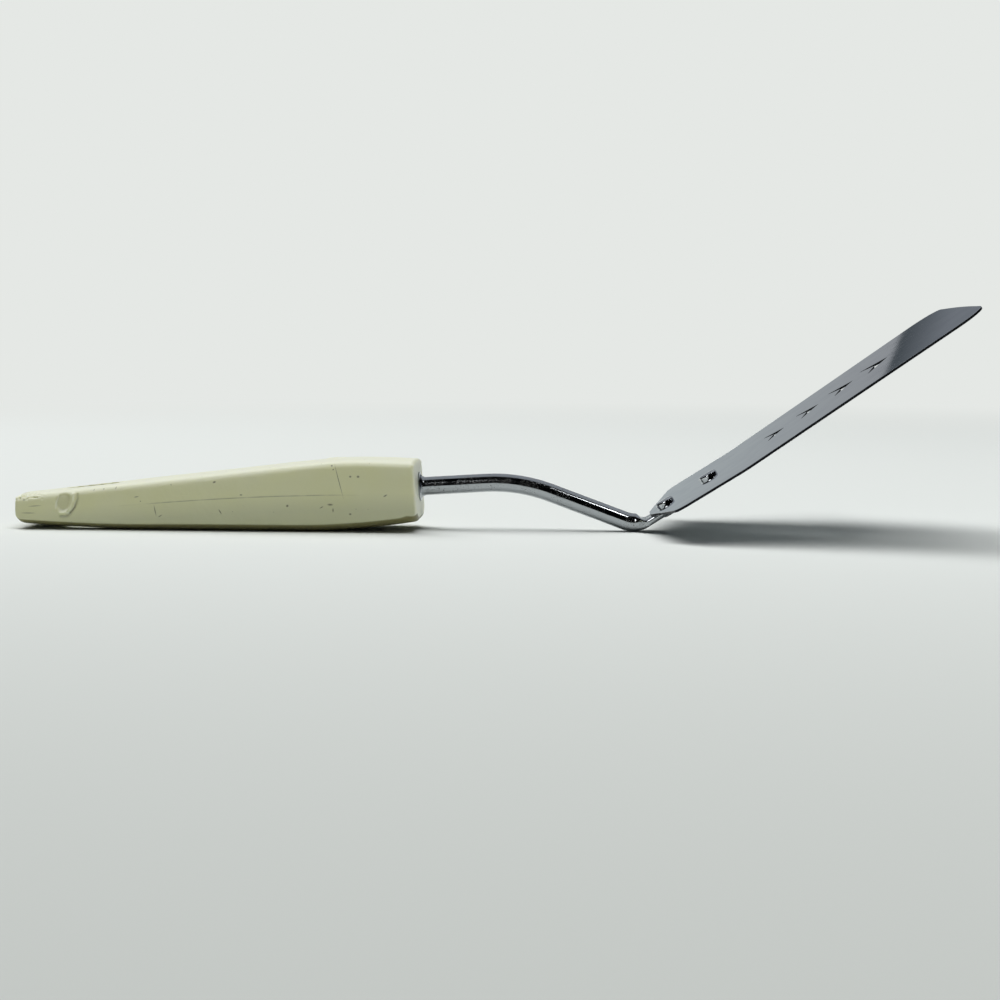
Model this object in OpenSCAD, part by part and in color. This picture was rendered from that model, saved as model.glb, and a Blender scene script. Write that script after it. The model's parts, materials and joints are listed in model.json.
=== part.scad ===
// Slotted kitchen turner: a moulded plastic handle on a bent, chromed steel shank, whose
// flattened tang carries a thin slotted steel blade on two domed rivets.
// It lies as it rests on a worktop: the handle's underside and the heel of the shank touch z = 0,
// +X runs from the handle's tail to the blade's tip, and the part is centred on x = 0 and y = 0.

/* [Handle] */
// Length of the handle
handle_l = 131; // [110:1:150]
// Width of the handle over most of its length
handle_w = 25; // [22:0.5:28]
// Width of the handle at its tail
tail_w = 21; // [18:0.5:22]
// Height of the upper edge at the tail
tail_top = 10.6; // [9.5:0.1:12]
// Height of the upper edge at the shank
front_top = 22.6; // [21.5:0.1:24]
// Height that the upper edge would lose between its brow and the shank
brow_fall = 0.8; // [0.4:0.1:1.5]
// Distance from the shank back to the brow, where the upper edge turns
brow_back = 23; // [18:1:30]
// Height of the crown across the top
top_crown = 0.5; // [0.2:0.1:1]
// Height of the crown across the underside
under_crown = 2.2; // [1.4:0.1:2.6]
// Width of the flat strip that the handle rests on
rest_w = 12; // [8:0.5:14]
// Rise of the underside towards the tail
tail_lift = 1.8; // [0.8:0.1:2.4]
// Length over which the tail rises
tail_run = 45; // [35:1:55]
// Rise of the underside towards the shank
chin_lift = 3.5; // [2.5:0.1:4.5]
// Length over which the chin rises
chin_run = 40; // [30:1:50]
// Radius along the upper edges
top_edge_r = 1.9; // [1:0.1:2.4]
// Radius along the lower edges
under_edge_r = 0.6; // [0.4:0.1:1]
// Radius of the tail's corners, seen from above
tail_corner_r = 5; // [3:0.5:7]
// Radius round the tail's end face
tail_end_r = 1.4; // [0.8:0.1:2]
// Radius round the end face at the shank
front_end_r = 1.3; // [0.8:0.1:1.8]
// Draft of the moulded sides, in degrees, away from the parting line
side_draft = 1.5; // [0.5:0.25:2.5]

/* [Hang slot] */
// Length of the slot for a hook
slot_l = 18.5; // [12:0.5:22]
// Width of the slot for a hook
slot_w = 6; // [5.2:0.1:7]
// Distance from the tail's end to the slot
slot_back = 14.5; // [12:0.5:20]

/* [Shank] */
// Diameter of the round steel rod
rod_d = 5.9; // [5:0.1:6.4]
// Height of the rod's axis where it enters the handle
seat_z = 14.1; // [13.2:0.1:15]
// Slope of the rod where it leaves the handle, in degrees
rod_rise = 3.5; // [2:0.5:5]
// Length of rod inside the handle
socket_l = 62; // [50:1:70]
// Straight length between the handle and the crest
lead_l = 21.5; // [15:0.5:26]
// Radius of the crest, on the rod's axis
crest_r = 52; // [40:1:60]
// Slope of the rod below the crest, in degrees
rod_fall = 20.2; // [18:0.2:23]
// Radius of the heel, on the rod's axis
heel_r = 9; // [7:0.5:12]
// Diameter of the collar that is upset against the handle
collar_d = 9.5; // [8.5:0.1:10.5]
// Length of the collar, with its hollow flare
collar_l = 2.3; // [1.8:0.1:3]
// Thickness of the collar's rim
collar_rim = 0.45; // [0.3:0.05:0.7]
// Width over the ears that are coined in the rod inside the handle
ear_w = 9.6; // [8:0.2:11]
// Length of the coined ears
ear_l = 7; // [5:0.5:9]
// Thickness of the coined ears
ear_t = 2; // [1.4:0.1:2.6]
// Distance from the rod's inner end to the ears
ear_back = 6; // [4:0.5:9]

/* [Tang] */
// Width of the flattened tang
tang_w = 11.5; // [10:0.1:13]
// Thickness of the flattened tang
tang_t = 2.3; // [2:0.1:2.8]
// Length of the tang
tang_l = 28.5; // [27:0.5:32]
// Pitch of the tang, in degrees
tang_pitch = 32.3; // [30:0.1:34]
// Radius of the corners at the tang's end
tang_end_r = 4; // [2:0.5:5]
// Radius along the tang's edges
tang_edge_r = 0.8; // [0.4:0.1:1]
// Length from the heel's lowest point to the start of the tang
heel_run = 4.6; // [4:0.1:6]
// Rise of the axis over that length
heel_lift = 0.55; // [0.4:0.05:0.9]

/* [Blade] */
// Length of the blade from root to tip, along its surface
blade_l = 117.5; // [100:0.5:130]
// Width of the blade at its tip
blade_w = 79; // [70:1:86]
// Width of the blade behind its shoulders
shoulder_w = 70; // [64:0.5:76]
// Thickness of the steel sheet
blade_t = 0.8; // [0.6:0.1:1.2]
// Pitch of the blade past the tang, in degrees
blade_pitch = 35.1; // [33:0.1:37]
// Distance along the blade from its root to the middle of its slight bend
bend_s = 32.6; // [32:0.1:35]
// Radius of that bend
bend_r = 100; // [60:5:110]
// Distance from the start of the tang to the blade's root
root_gap = 1.7; // [1:0.1:3]
// Width of the blade's root across the tang
root_w = 9; // [7:0.5:11]
// Distance from the root to the corner of the shoulders
shoulder_s = 8.6; // [6:0.1:12]
// Radius of the shoulders
shoulder_r = 5; // [3:0.5:8]
// Radius of the tip's corners
tip_r = 10; // [6:0.5:14]
// Bow of the tip's edge
tip_bow = 0.6; // [0.3:0.1:1.2]

/* [Drain slots] */
// Distance from the root to the base of the first slot
first_slot_s = 43.4; // [40:0.1:46]
// Distance from one slot to the next
slot_pitch = 12.4; // [11.8:0.1:13.2]
// Number of slots
slot_count = 4; // [2:1:5]
// Width of the first slot
first_slot_w = 15; // [12:0.1:17]
// Gain in width from one slot to the next
slot_w_gain = 1.3; // [0.5:0.1:1.6]
// Length of the first slot
first_slot_l = 7.4; // [6:0.1:8]
// Gain in length from one slot to the next
slot_l_gain = 0.7; // [0.3:0.1:0.9]
// Radius of the slots' points
slot_point_r = 0.2; // [0.1:0.05:0.5]

/* [Rivets] */
// Distance from the blade's root to the first rivet
rivet_s = 5.8; // [5:0.1:7]
// Distance between the rivets
rivet_pitch = 16.2; // [15:0.1:18]
// Diameter of the rivets' shanks
rivet_d = 3.4; // [2.8:0.1:4]
// Diameter of the domed heads
rivet_head_d = 6.2; // [5.4:0.1:7]
// Height of the domed heads
rivet_head_h = 1.4; // [1:0.1:1.8]
// Diameter of the clinched tails
rivet_tail_d = 5.2; // [4.6:0.1:6]
// Height of the clinched tails
rivet_tail_h = 0.7; // [0.4:0.1:1]

/* [Fit] */
// Gap on every side between the rod and the handle moulded round it
mould_gap = 0.05; // [0.02:0.01:0.1]
// Gap round a rivet in its holes
rivet_gap = 0.05; // [0.02:0.01:0.1]

/* [Hidden] */
$fn = 96;

// How far a cut runs past the face that it opens in
overrun = 1;
// Corner radius of the round rod's section, which keeps its four corners apart
round_share = 0.97;
// Rounds the turn of the handle's upper edge at its brow
brow_blend = 1.2;
// Where the parting line of the mould pulls to between underside and top: tail, middle and shank
parting_shares = [0.44, 0.7, 0.45];
// How far along a slot its notch reaches
notch_share = 0.45;
// How much of the handle's length its width takes to grow
widen_share = 0.6;
// How much of the handle's front leans square to the rod
lean_share = 0.35;
// Steps along the handle's plain middle
handle_steps = 18;
// Steps round each rounded end of the handle
end_steps = 5;
// Steps round an edge of the handle, across half its top and across half its underside
edge_steps = 4;
crown_steps = 3;
// Steps round the crest and round the heel
crest_steps = 10;
heel_steps = 6;
// Steps round a quarter of the rod, along its flattening and round the tang's end
quarter_steps = 8;
flatten_steps = 12;
tang_end_steps = 6;
// Steps round a corner of the sheet, along its bend and along the tip's bow
corner_steps = 8;
bend_steps = 6;
bow_steps = 12;
// Steps along the collar's flare
flare_steps = 8;

rod_r = rod_d / 2;
tip_edge_s = blade_l - tip_bow;

// The side view is worked out as [x, z], with x = 0 at the handle's end face on the rod's axis.
function heading(a) = [cos(a), sin(a)];
function normal(a) = [-sin(a), cos(a)];
function mix(a, b, q) = a + (b - a) * q;
function ease(q) = q * q * (3 - 2 * q);
function soft_min(a, b, k) = (a + b - sqrt(pow(a - b, 2) + k * k)) / 2;
function flip(points) = [for (i = [len(points) - 1:-1:0]) points[i]];

// The rod's axis: lead, crest, drop and heel. The drop is as long as it takes the heel down to z = 0.
lead_start = [0, seat_z];
lead_end = lead_start + lead_l * heading(rod_rise);
crest_centre = lead_end - crest_r * normal(rod_rise);
crest_end = crest_centre + crest_r * normal(-rod_fall);
heel_start_z = rod_r + heel_r * (1 - cos(rod_fall));
drop_l = (crest_end[1] - heel_start_z) / sin(rod_fall);
heel_start = crest_end + drop_l * heading(-rod_fall);
heel_centre = heel_start + heel_r * normal(-rod_fall);
heel_low = heel_centre - [0, heel_r];
tang_start = heel_low + [heel_run, heel_lift];
tang_top = tang_start + tang_t / 2 * normal(tang_pitch);

// The blade's underside starts at its root, on the tang, and turns up at the slight bend.
root = tang_top + root_gap * heading(tang_pitch);
bend_turn = blade_pitch - tang_pitch;
bend_half = bend_r * tan(bend_turn / 2);
bend_vertex = root + bend_s * heading(tang_pitch);
bend_start = bend_vertex - bend_half * heading(tang_pitch);
bend_centre = bend_start + bend_r * normal(tang_pitch);
tip = bend_vertex + (blade_l - bend_s) * heading(blade_pitch);

// Centres the whole part on x = 0.
centre_x = (tip[0] - handle_l) / 2;

// Corner points [x, y, radius] become a polygon with an arc at every corner.
function unit(v) = v / norm(v);
function corner_arc(before, at, after) =
    let (
        p = [at[0], at[1]],
        u = unit([before[0], before[1]] - p),
        v = unit([after[0], after[1]] - p),
        half = acos(u * v) / 2,
        centre = p + unit(u + v) * at[2] / sin(half),
        from = p + u * at[2] / tan(half) - centre,
        to = p + v * at[2] / tan(half) - centre,
        a0 = atan2(from[1], from[0]),
        turn = atan2(from[0] * to[1] - from[1] * to[0], from * to)
    )
    at[2] == 0 ? [p] : [for (i = [0:corner_steps]) centre + at[2] * heading(a0 + turn * i / corner_steps)];
function rounded(corners) =
    let (n = len(corners))
    [for (i = [0:n - 1]) each corner_arc(corners[(i + n - 1) % n], corners[i], corners[(i + 1) % n])];

// Puts a shape in the side view: its own +X turns to the heading and its +Z to the normal.
module stand(p, a) {
    translate([p[0], 0, p[1]])
        rotate([0, -a, 0])
            children();
}

// Joins closed rings of as many points each into a solid with flat ends.
module loft(rings) {
    n = len(rings[0]);
    last = n * (len(rings) - 1);
    walls = [
        for (k = [0:n:last - n], i = [0:n - 1])
            let (a = k + i, b = k + (i + 1) % n)
            each [[a, a + n, b], [b, a + n, b + n]]
    ];
    ends = [for (i = [1:n - 2]) each [[0, i, i + 1], [last, last + i + 1, last + i]]];
    polyhedron(points = [for (ring = rings) each ring], faces = concat(walls, ends), convexity = 4);
}

// Sizes of the handle's cross-section at a distance t from the tail.
function round_in(t, r) = t >= r ? 0 : r - sqrt(pow(r, 2) - pow(r - t, 2));
function end_in(t) = round_in(t, tail_end_r) + round_in(handle_l - t, front_end_r);
function half_width(t) =
    mix(tail_w, handle_w, ease(min(1, t / (handle_l * widen_share)))) / 2
    - round_in(t, tail_corner_r) - round_in(handle_l - t, front_end_r);
function upper_edge(t) =
    let (brow_z = front_top + brow_fall, brow_t = handle_l - brow_back)
    soft_min(
        mix(tail_top, brow_z, t / brow_t),
        mix(brow_z, front_top, (t - brow_t) / brow_back),
        brow_blend
    ) - end_in(t);
function underside(t) =
    tail_lift * pow(max(0, 1 - t / tail_run), 2)
    + chin_lift * pow(max(0, 1 - (handle_l - t) / chin_run), 2)
    + end_in(t);
function parting_share(q) =
    pow(1 - q, 2) * parting_shares[0] + 2 * q * (1 - q) * parting_shares[1] + pow(q, 2) * parting_shares[2];
function lean(t) = ease(max(0, 1 - (handle_l - t) / (handle_l * lean_share))) * tan(rod_rise);

// Half of the cross-section as [y, z], from the middle of the underside up to the middle of the top.
function half_section(t) =
    let (
        hw = half_width(t),
        low = underside(t),
        high = upper_edge(t),
        rest = min(rest_w / 2, hw / 2),
        crown = under_crown * pow(hw / (handle_w / 2), 2),
        parting_z = mix(low, high, parting_share(t / handle_l)),
        under_y = hw - (parting_z - low - crown) * tan(side_draft) - under_edge_r,
        under_z = low + crown + under_edge_r,
        top_y = hw - (high - parting_z) * tan(side_draft) - top_edge_r,
        top_z = high - top_edge_r,
        under_a = -atan(2 * crown / (under_y - rest)),
        top_a = 90 - atan(2 * top_crown / top_y),
        under_end = [under_y, under_z] + under_edge_r * heading(-90 - under_a),
        top_start = [top_y, top_z] + top_edge_r * heading(top_a)
    )
    concat(
        [[0, low]],
        [for (i = [0:crown_steps - 1])
            let (q = i / crown_steps)
            [mix(rest, under_end[0], q), mix(low, under_end[1], q * q)]],
        [for (i = [0:edge_steps]) [under_y, under_z] + under_edge_r * heading(mix(-90 - under_a, 0, i / edge_steps))],
        [[hw, parting_z]],
        [for (i = [0:edge_steps]) [top_y, top_z] + top_edge_r * heading(mix(0, top_a, i / edge_steps))],
        [for (i = [1:crown_steps])
            let (q = 1 - i / crown_steps)
            [top_start[0] * q, top_start[1] + top_crown * (1 - q * q)]]
    );
function handle_ring(t) =
    let (
        half = half_section(t),
        n = len(half),
        shape = concat(half, [for (i = [n - 2:-1:1]) [-half[i][0], half[i][1]]])
    )
    [for (p = shape) [t - handle_l - lean(t) * (p[1] - seat_z), p[0], p[1]]];

// Distances from the tail at which the handle has a ring, close together where its ends are round.
function arc_places(r) = [for (i = [0:end_steps - 1]) r * (1 - cos(90 * i / end_steps))];
tail_places = concat(
    arc_places(tail_end_r),
    [for (t = arc_places(tail_corner_r)) if (t > tail_end_r) t]
);
front_places = flip([for (t = arc_places(front_end_r)) handle_l - t]);
handle_places = concat(
    tail_places,
    [for (i = [0:handle_steps]) mix(tail_corner_r, handle_l - front_end_r, i / handle_steps)],
    front_places
);

module hang_slot_plan() {
    straight = slot_l - slot_w;
    for (end = [-1, 1])
        translate([end * straight / 2, 0])
            circle(d = slot_w);
    square([straight, slot_w], center = true);
}

// The ears that are coined in the rod, with a gap all round.
module ears(gap) {
    translate([ear_back + ear_l / 2 - socket_l, 0, 0])
        cube([ear_l + 2 * gap, ear_w + 2 * gap, ear_t + 2 * gap], center = true);
}

// The moulded handle, with its hang slot and the socket that the plastic leaves round the rod.
module handle() {
    color("#dcdcbc")
        difference() {
            loft([for (t = handle_places) handle_ring(t)]);
            stand(lead_start, rod_rise) {
                translate([-socket_l - mould_gap, 0, 0])
                    rotate([0, 90, 0])
                        cylinder(h = socket_l + mould_gap + overrun, r = rod_r + mould_gap);
                ears(mould_gap);
            }
            translate([slot_back + slot_l / 2 - handle_l, 0, -overrun])
                linear_extrude(height = front_top + 2 * overrun)
                    hang_slot_plan();
        }
}

// A section of the rod: half its width, half its thickness and its corner radius.
function rod_ring(p, a, hw, ht, r) = [
    for (q = [0:3], i = [0:quarter_steps])
        let (
            b = 90 * (q + i / quarter_steps),
            y = (q == 0 || q == 3 ? 1 : -1) * (hw - r) + r * cos(b),
            w = (q < 2 ? 1 : -1) * (ht - r) + r * sin(b),
            place = p + w * normal(a)
        )
        [place[0], y, place[1]]
];
function round_ring(p, a, r = rod_r) = rod_ring(p, a, r, r, r * round_share);

// The straight rod, from its inner end to the crest. Its collar has a flat rim on the handle's end
// face and a hollow flare down to the rod.
flare_r = collar_d / 2 - rod_r;
flare_l = collar_l - collar_rim;
collar_profile = concat(
    [[0, rod_r], [0, rod_r + flare_r]],
    [
        for (i = [0:flare_steps])
            let (a = 90 * i / flare_steps)
            [collar_rim + flare_l * (1 - cos(a)), rod_r + flare_r * (1 - sin(a))]
    ]
);
straight_rings = [
    for (p = concat([[-socket_l, rod_r]], collar_profile))
        round_ring(lead_start + p[0] * heading(rod_rise), rod_rise, p[1])
];

// The axis between the heel's lowest point and the tang is a curve that keeps both headings.
function flatten_axis(q) =
    let (
        pull = norm(tang_start - heel_low) / 3,
        a = heel_low + pull * heading(0),
        b = tang_start - pull * heading(tang_pitch)
    )
    pow(1 - q, 3) * heel_low + 3 * pow(1 - q, 2) * q * a + 3 * (1 - q) * q * q * b + pow(q, 3) * tang_start;

crest_rings = [
    for (i = [0:crest_steps])
        let (a = mix(rod_rise, -rod_fall, i / crest_steps))
        round_ring(crest_centre + crest_r * normal(a), a)
];
heel_rings = [
    for (i = [0:heel_steps])
        let (a = mix(-rod_fall, 0, i / heel_steps))
        round_ring(heel_centre - heel_r * normal(a), a)
];
flatten_rings = [
    for (i = [1:flatten_steps])
        let (q = i / flatten_steps, e = ease(q))
        rod_ring(
            flatten_axis(q), tang_pitch * e,
            mix(rod_r, tang_w / 2, e), mix(rod_r, tang_t / 2, e), mix(rod_r * round_share, tang_edge_r, e)
        )
];
tang_end_rings = [
    for (i = [0:tang_end_steps])
        let (a = 90 * i / tang_end_steps, along = tang_l - tang_end_r * (1 - sin(a)))
        rod_ring(
            tang_start + along * heading(tang_pitch), tang_pitch,
            tang_w / 2 - tang_end_r * (1 - cos(a)), tang_t / 2, tang_edge_r
        )
];

// Places a shape on the blade's underside at each rivet: 0 is the rear one, 1 the front one.
module at_rivet(which) {
    stand(root + (rivet_s + which * rivet_pitch) * heading(tang_pitch), tang_pitch)
        children();
}

// The shank: one rod, swept from its inner end over the crest and the heel to the tang's end, with
// its coined ears and its rivet holes.
module shank() {
    color("#c9ccd0")
        difference() {
            union() {
                loft(concat(straight_rings, crest_rings, heel_rings, flatten_rings, tang_end_rings));
                stand(lead_start, rod_rise)
                    ears(0);
            }
            for (which = [0, 1])
                at_rivet(which)
                    translate([0, 0, -tang_t - overrun])
                        cylinder(h = tang_t + 2 * overrun, d = rivet_d + 2 * rivet_gap);
        }
}

// Half of the blade's outline, from its root to its tip, as corners with their radii.
half_outline = [
    [0, root_w / 2, 0],
    [shoulder_s, shoulder_w / 2, shoulder_r],
    [tip_edge_s, blade_w / 2, tip_r]
];
tip_corner_y = blade_w / 2 - tip_r;
tip_bow_points = [
    for (i = [1:bow_steps - 1])
        let (y = mix(tip_corner_y, -tip_corner_y, i / bow_steps))
        [tip_edge_s + tip_bow * (1 - pow(y / tip_corner_y, 2)), y, 0]
];
blade_outline = concat(
    half_outline,
    tip_bow_points,
    [for (p = flip(half_outline)) [p[0], -p[1], p[2]]]
);

// An arrowhead that points to the tip, with a notch in its base.
function drain_slot(i) =
    let (
        base = first_slot_s + i * slot_pitch,
        l = first_slot_l + i * slot_l_gain,
        hw = (first_slot_w + i * slot_w_gain) / 2
    )
    [
        [base, -hw, slot_point_r],
        [base + l, 0, slot_point_r],
        [base, hw, slot_point_r],
        [base + l * notch_share, 0, slot_point_r]
    ];

// The sheet in the side view: its underside forwards, and its upper side back.
function sheet_line(w) = concat(
    [root + w * normal(tang_pitch) - overrun * heading(tang_pitch)],
    [for (i = [0:bend_steps])
        bend_centre - (bend_r - w) * normal(tang_pitch + bend_turn * i / bend_steps)],
    [tip + w * normal(blade_pitch) + overrun * heading(blade_pitch)]
);

// The blade: the bent sheet, cut to its outline, with its drain slots and rivet holes.
module blade() {
    reach = blade_w / 2 + overrun;
    color("#a9aeb3")
        difference() {
            intersection() {
                rotate([90, 0, 0])
                    linear_extrude(height = 2 * reach, center = true)
                        polygon(concat(sheet_line(0), flip(sheet_line(blade_t))));
                stand(bend_vertex, blade_pitch)
                    translate([-bend_s, 0, -reach])
                        linear_extrude(height = 2 * reach)
                            difference() {
                                polygon(rounded(blade_outline));
                                for (i = [0:slot_count - 1])
                                    polygon(rounded(drain_slot(i)));
                            }
            }
            for (which = [0, 1])
                at_rivet(which)
                    translate([0, 0, -overrun])
                        cylinder(h = blade_t + 2 * overrun, d = rivet_d + 2 * rivet_gap);
        }
}

// A rivet, set from above: a domed head on the blade and a clinched tail under the tang.
module rivet(which) {
    head_r = rivet_head_d / 2;
    dome_r = (pow(head_r, 2) + pow(rivet_head_h, 2)) / (2 * rivet_head_h);
    color("#d3d5d8")
        at_rivet(which) {
            translate([0, 0, blade_t])
                intersection() {
                    translate([0, 0, rivet_head_h - dome_r])
                        sphere(r = dome_r);
                    cylinder(h = rivet_head_h, r = head_r);
                }
            translate([0, 0, -tang_t - rivet_tail_h])
                cylinder(h = tang_t + rivet_tail_h + blade_t, d = rivet_d);
            translate([0, 0, -tang_t - rivet_tail_h])
                cylinder(h = rivet_tail_h, d1 = rivet_tail_d - rivet_tail_h, d2 = rivet_tail_d);
        }
}

module rivet_rear() {
    rivet(0);
}

module rivet_front() {
    rivet(1);
}

translate([-centre_x, 0, 0]) {
    handle();
    shank();
    blade();
    rivet_rear();
    rivet_front();
}
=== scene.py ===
"""A slotted kitchen turner: moulded handle, chromed shank, slotted steel blade and two rivets.

Lengths are metres in the part's own frame: +X runs from the handle's tail to the blade's tip, and
the worktop is z = 0.
"""

import json
import math

import bmesh
import bpy
import numpy as np
from mathutils import Matrix, Vector, noise

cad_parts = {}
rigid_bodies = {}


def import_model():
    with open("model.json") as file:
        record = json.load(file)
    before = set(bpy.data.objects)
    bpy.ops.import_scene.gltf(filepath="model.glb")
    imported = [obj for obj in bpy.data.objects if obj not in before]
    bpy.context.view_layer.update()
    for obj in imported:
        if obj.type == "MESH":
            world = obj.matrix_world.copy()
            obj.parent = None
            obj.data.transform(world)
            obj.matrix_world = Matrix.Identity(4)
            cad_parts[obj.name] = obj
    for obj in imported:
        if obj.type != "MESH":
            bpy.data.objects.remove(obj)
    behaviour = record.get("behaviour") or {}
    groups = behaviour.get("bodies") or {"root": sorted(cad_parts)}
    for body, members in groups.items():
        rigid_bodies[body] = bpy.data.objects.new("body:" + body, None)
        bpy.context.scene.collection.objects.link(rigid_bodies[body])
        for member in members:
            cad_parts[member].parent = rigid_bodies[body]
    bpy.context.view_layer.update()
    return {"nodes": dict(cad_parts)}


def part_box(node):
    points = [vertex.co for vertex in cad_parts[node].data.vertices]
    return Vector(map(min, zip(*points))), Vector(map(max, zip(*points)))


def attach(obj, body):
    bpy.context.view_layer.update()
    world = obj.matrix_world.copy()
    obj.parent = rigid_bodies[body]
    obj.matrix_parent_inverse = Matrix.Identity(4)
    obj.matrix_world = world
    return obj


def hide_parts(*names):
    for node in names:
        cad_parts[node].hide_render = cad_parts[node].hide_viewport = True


bl_info = {
    "name": "Slotted Turner",
    "version": (1, 0, 0),
    "blender": (4, 5, 0),
    "location": "3D View > Sidebar > Turner",
    "description": "Models and finishes a slotted turner with a moulded handle and a riveted blade",
    "category": "Object",
}

MM = 0.001

# Points round the rod and the floor, and round a rivet and the ends of the hang slot, and steps along
# the curves of the rod and the rivets.
RING_POINTS = 64
TURNED_POINTS = 64
FLARE_STEPS = 12
CREST_STEPS = 28
HEEL_STEPS = 14
FLATTEN_STEPS = 20
TANG_END_STEPS = 8
DOME_STEPS = 12
# How near a head's last ring comes to its top, how square its profile is from round (2) upwards, and
# how much of its height is its rim.
DOME_TIP = 0.002
HEAD_SQUARENESS = 4
RIM_SHARE = 0.08
# How squarely a face of the rod looks sideways if it becomes part of an ear.
EAR_FACING = 0.94
# How much of the handle's length its width takes to grow, and how much of its front leans.
WIDEN_SHARE = 0.6
LEAN_SHARE = 0.35
# Where the parting line stands between underside and top: at the tail, midway and at the shank.
PARTING_SHARES = (0.44, 0.7, 0.45)
# Rounds the turn of the handle's upper edge at its brow.
BROW_BLEND = 1.2 * MM
# How much of the handle's height takes part in its crowns.
CROWN_SHARE = 0.3
# Steps round each end of the handle, along its middle and round its edges.
END_STEPS = 8
HANDLE_STEPS = 30
EDGE_STEPS = 8
# Marks on the near side start at this share of the half width and are full a range further out. Marks
# on the top start this far below the upper edge, in millimetres, and are full a range further up.
SIDE_START = 0.65
SIDE_RANGE = 0.25
TOP_BELOW = 2.4
TOP_RANGE = 1.5
# The melted spot on the near side, in millimetres: its place from the tail and up, its radius, the
# width of its wall, its depth, and how dark it is painted, partly dirt and partly painted shade.
MELT_SPOT = (16.6, 8.9)
MELT_RADIUS = 3.4
MELT_WALL = 1.3
MELT_DEPTH = 0.5
MELT_DIRT_AND_SHADE = 0.15
# Marks round it, their lengths in millimetres: places along each, how far it spreads, its depth, how
# dark it is painted, and how much of it is left high up. That darkening is partly dirt and partly
# painted shade in the grooves and under the fold. Less than no depth stands proud, and less than no
# darkening takes away what the others paint.
MELT_MARKS = (
    (((19.7, 11.6), (19.3, 9.7), (18.8, 8.1), (18.2, 6.7), (17.4, 5.9)), 0.8, -0.75, -1.0, 1.0),
    (
        ((21.1, 11.6), (21.2, 10.3), (20.8, 9.1), (20.2, 7.5), (19.4, 6.4), (18.7, 5.7)),
        0.55, 0.4, 0.75, 0.5,
    ),
    (((15.4, 5.5), (17.2, 5.6)), 0.6, -0.6, -1.0, 1.0),
    (((15.6, 4.6), (17.4, 4.6), (18.5, 5.3)), 0.6, 0.3, 0.4, 1.0),
    (((14.6, 10.9), (13.8, 8.8), (13.6, 6.7)), 0.5, -0.25, 0.0, 1.0),
)
# Height at which such a mark starts to fade, in millimetres, and the height that this takes.
FADE_HEIGHT = 7
FADE_RANGE = 4
# The burr on the lower edge, in millimetres: its place from the tail and up, its radius and height.
BURR = (128, 5.4)
BURR_RADIUS = 1.6
BURR_HEIGHT = 0.35
# The curl scratched into the top, its lengths in millimetres: places from the tail and across, spread,
# depth and dirt, and the lip beside it.
TOP_CURL = ((100.3, 6.3), (101.8, 7.2), (103.6, 6.3), (105.2, 9.8))
CURL_SPREAD = 0.5
CURL_DEPTH = 0.35
CURL_DIRT = 0.8
LIP_BESIDE = 0.7
LIP_HEIGHT = 0.3
# Waves that shrinkage leaves in the sides, in millimetres.
WAVE_DEPTH = 0.1
WAVE_LENGTH = 16
# Bites along the tail's upper edge, their lengths in millimetres: how far along it they reach, their
# depth and length, the least noise that bites, how far below the edge they start to grow and over
# what height, and how much of them the rest gets.
CHEW_RUN = 12
CHEW_DEPTH = 1.3
CHEW_LENGTH = 0.9
CHEW_LEAST = 0.05
CHEW_BELOW = 1.5
CHEW_BAND = 1.2
CHEW_REST = 0.1
# The stretch of the parting line that holds dirt, in millimetres from the tail, the length over which
# it fades at each end, and how much shows of the colour of dirt and of the painted shade in the melted
# marks.
SEAM_RUN = (34, 114)
SEAM_FADE = 18 * MM
DIRT_SHARE = 0.8
# Scuffs on the near side: how deep into the handle they are drawn, the shares of their half size at
# which they start and are full, and for each its distance from the tail, height, length and width in
# millimetres, and its turn in degrees.
SCUFF_REACH = 3 * MM
SCUFF_START = 1.4
SCUFF_FULL = 0.4
SCUFFS = (
    (3.4, 9.6, 1.0, 0.6, 10),
    (4.8, 5.4, 4.6, 0.35, 0),
    (7.0, 7.7, 4.2, 0.3, 4),
    (26.5, 13.1, 0.8, 0.4, 60),
    (33.8, 13.8, 0.9, 0.4, 70),
    (40.7, 11.0, 1.4, 0.3, 10),
    (46.8, 6.6, 3.0, 0.35, 100),
    (48.4, 4.9, 1.4, 0.3, 30),
    (66.3, 16.0, 1.0, 0.6, 20),
    (68.1, 6.5, 1.6, 0.4, 120),
    (75.0, 12.0, 0.8, 0.4, 0),
    (89.9, 8.6, 0.8, 0.7, 45),
    (103.7, 9.1, 1.6, 0.6, 0),
    (104.6, 7.3, 0.4, 1.2, 0),
    (100.9, 8.2, 1.2, 0.3, 30),
    (106.5, 16.8, 9.4, 0.22, 105),
    (110.1, 6.1, 0.8, 0.6, 0),
    (104.2, 21.5, 0.6, 0.5, 0),
    (104.7, 20.3, 0.5, 0.4, 30),
    (110.2, 18.1, 0.7, 0.6, 0),
    (112.7, 18.1, 0.8, 0.7, 0),
    (121.4, 12.1, 1.2, 0.45, 30),
)
# How much roughness is added by fine scratches in the plastic, pits in the chrome, scratches in the
# steel, its sheared edges, and its rolling lines seen squarely.
SCUFFED_ROUGH = 0.12
PIT_ROUGH = 0.45
SCRATCHED_ROUGH = 0.04
SHEARED_ROUGH = 0.3
SATIN_ROUGH = 0.42
# How deep scratches in the plastic, dirt in it, pits in the chrome and scratches in the steel lie,
# where the relief of the surface is 1 deep.
SCUFFED_DEPTH = 0.4
DIRT_DEPTH = 2
PIT_DEPTH = 0.6
SCRATCHED_DEPTH = 1
# Corners of half of the first drain slot in millimetres, with their steps to the next slot: run along
# the blade, place across it, and the steps of both.
SLOT_CORNERS = (
    (98.4, 0.0, 13.1, 0.0),
    (91.8, 6.8, 12.4, 0.63),
    (91.5, 6.6, 12.4, 0.63),
    (94.4, 0.0, 12.7, 0.0),
)
SLOTS = 4
# Share of the blade's half width within which the slots and the rivet holes lie.
SLOT_REACH = 0.35
# How much of an edge's length lies along an axis if it counts as along it.
ALONG = 0.7
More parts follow.
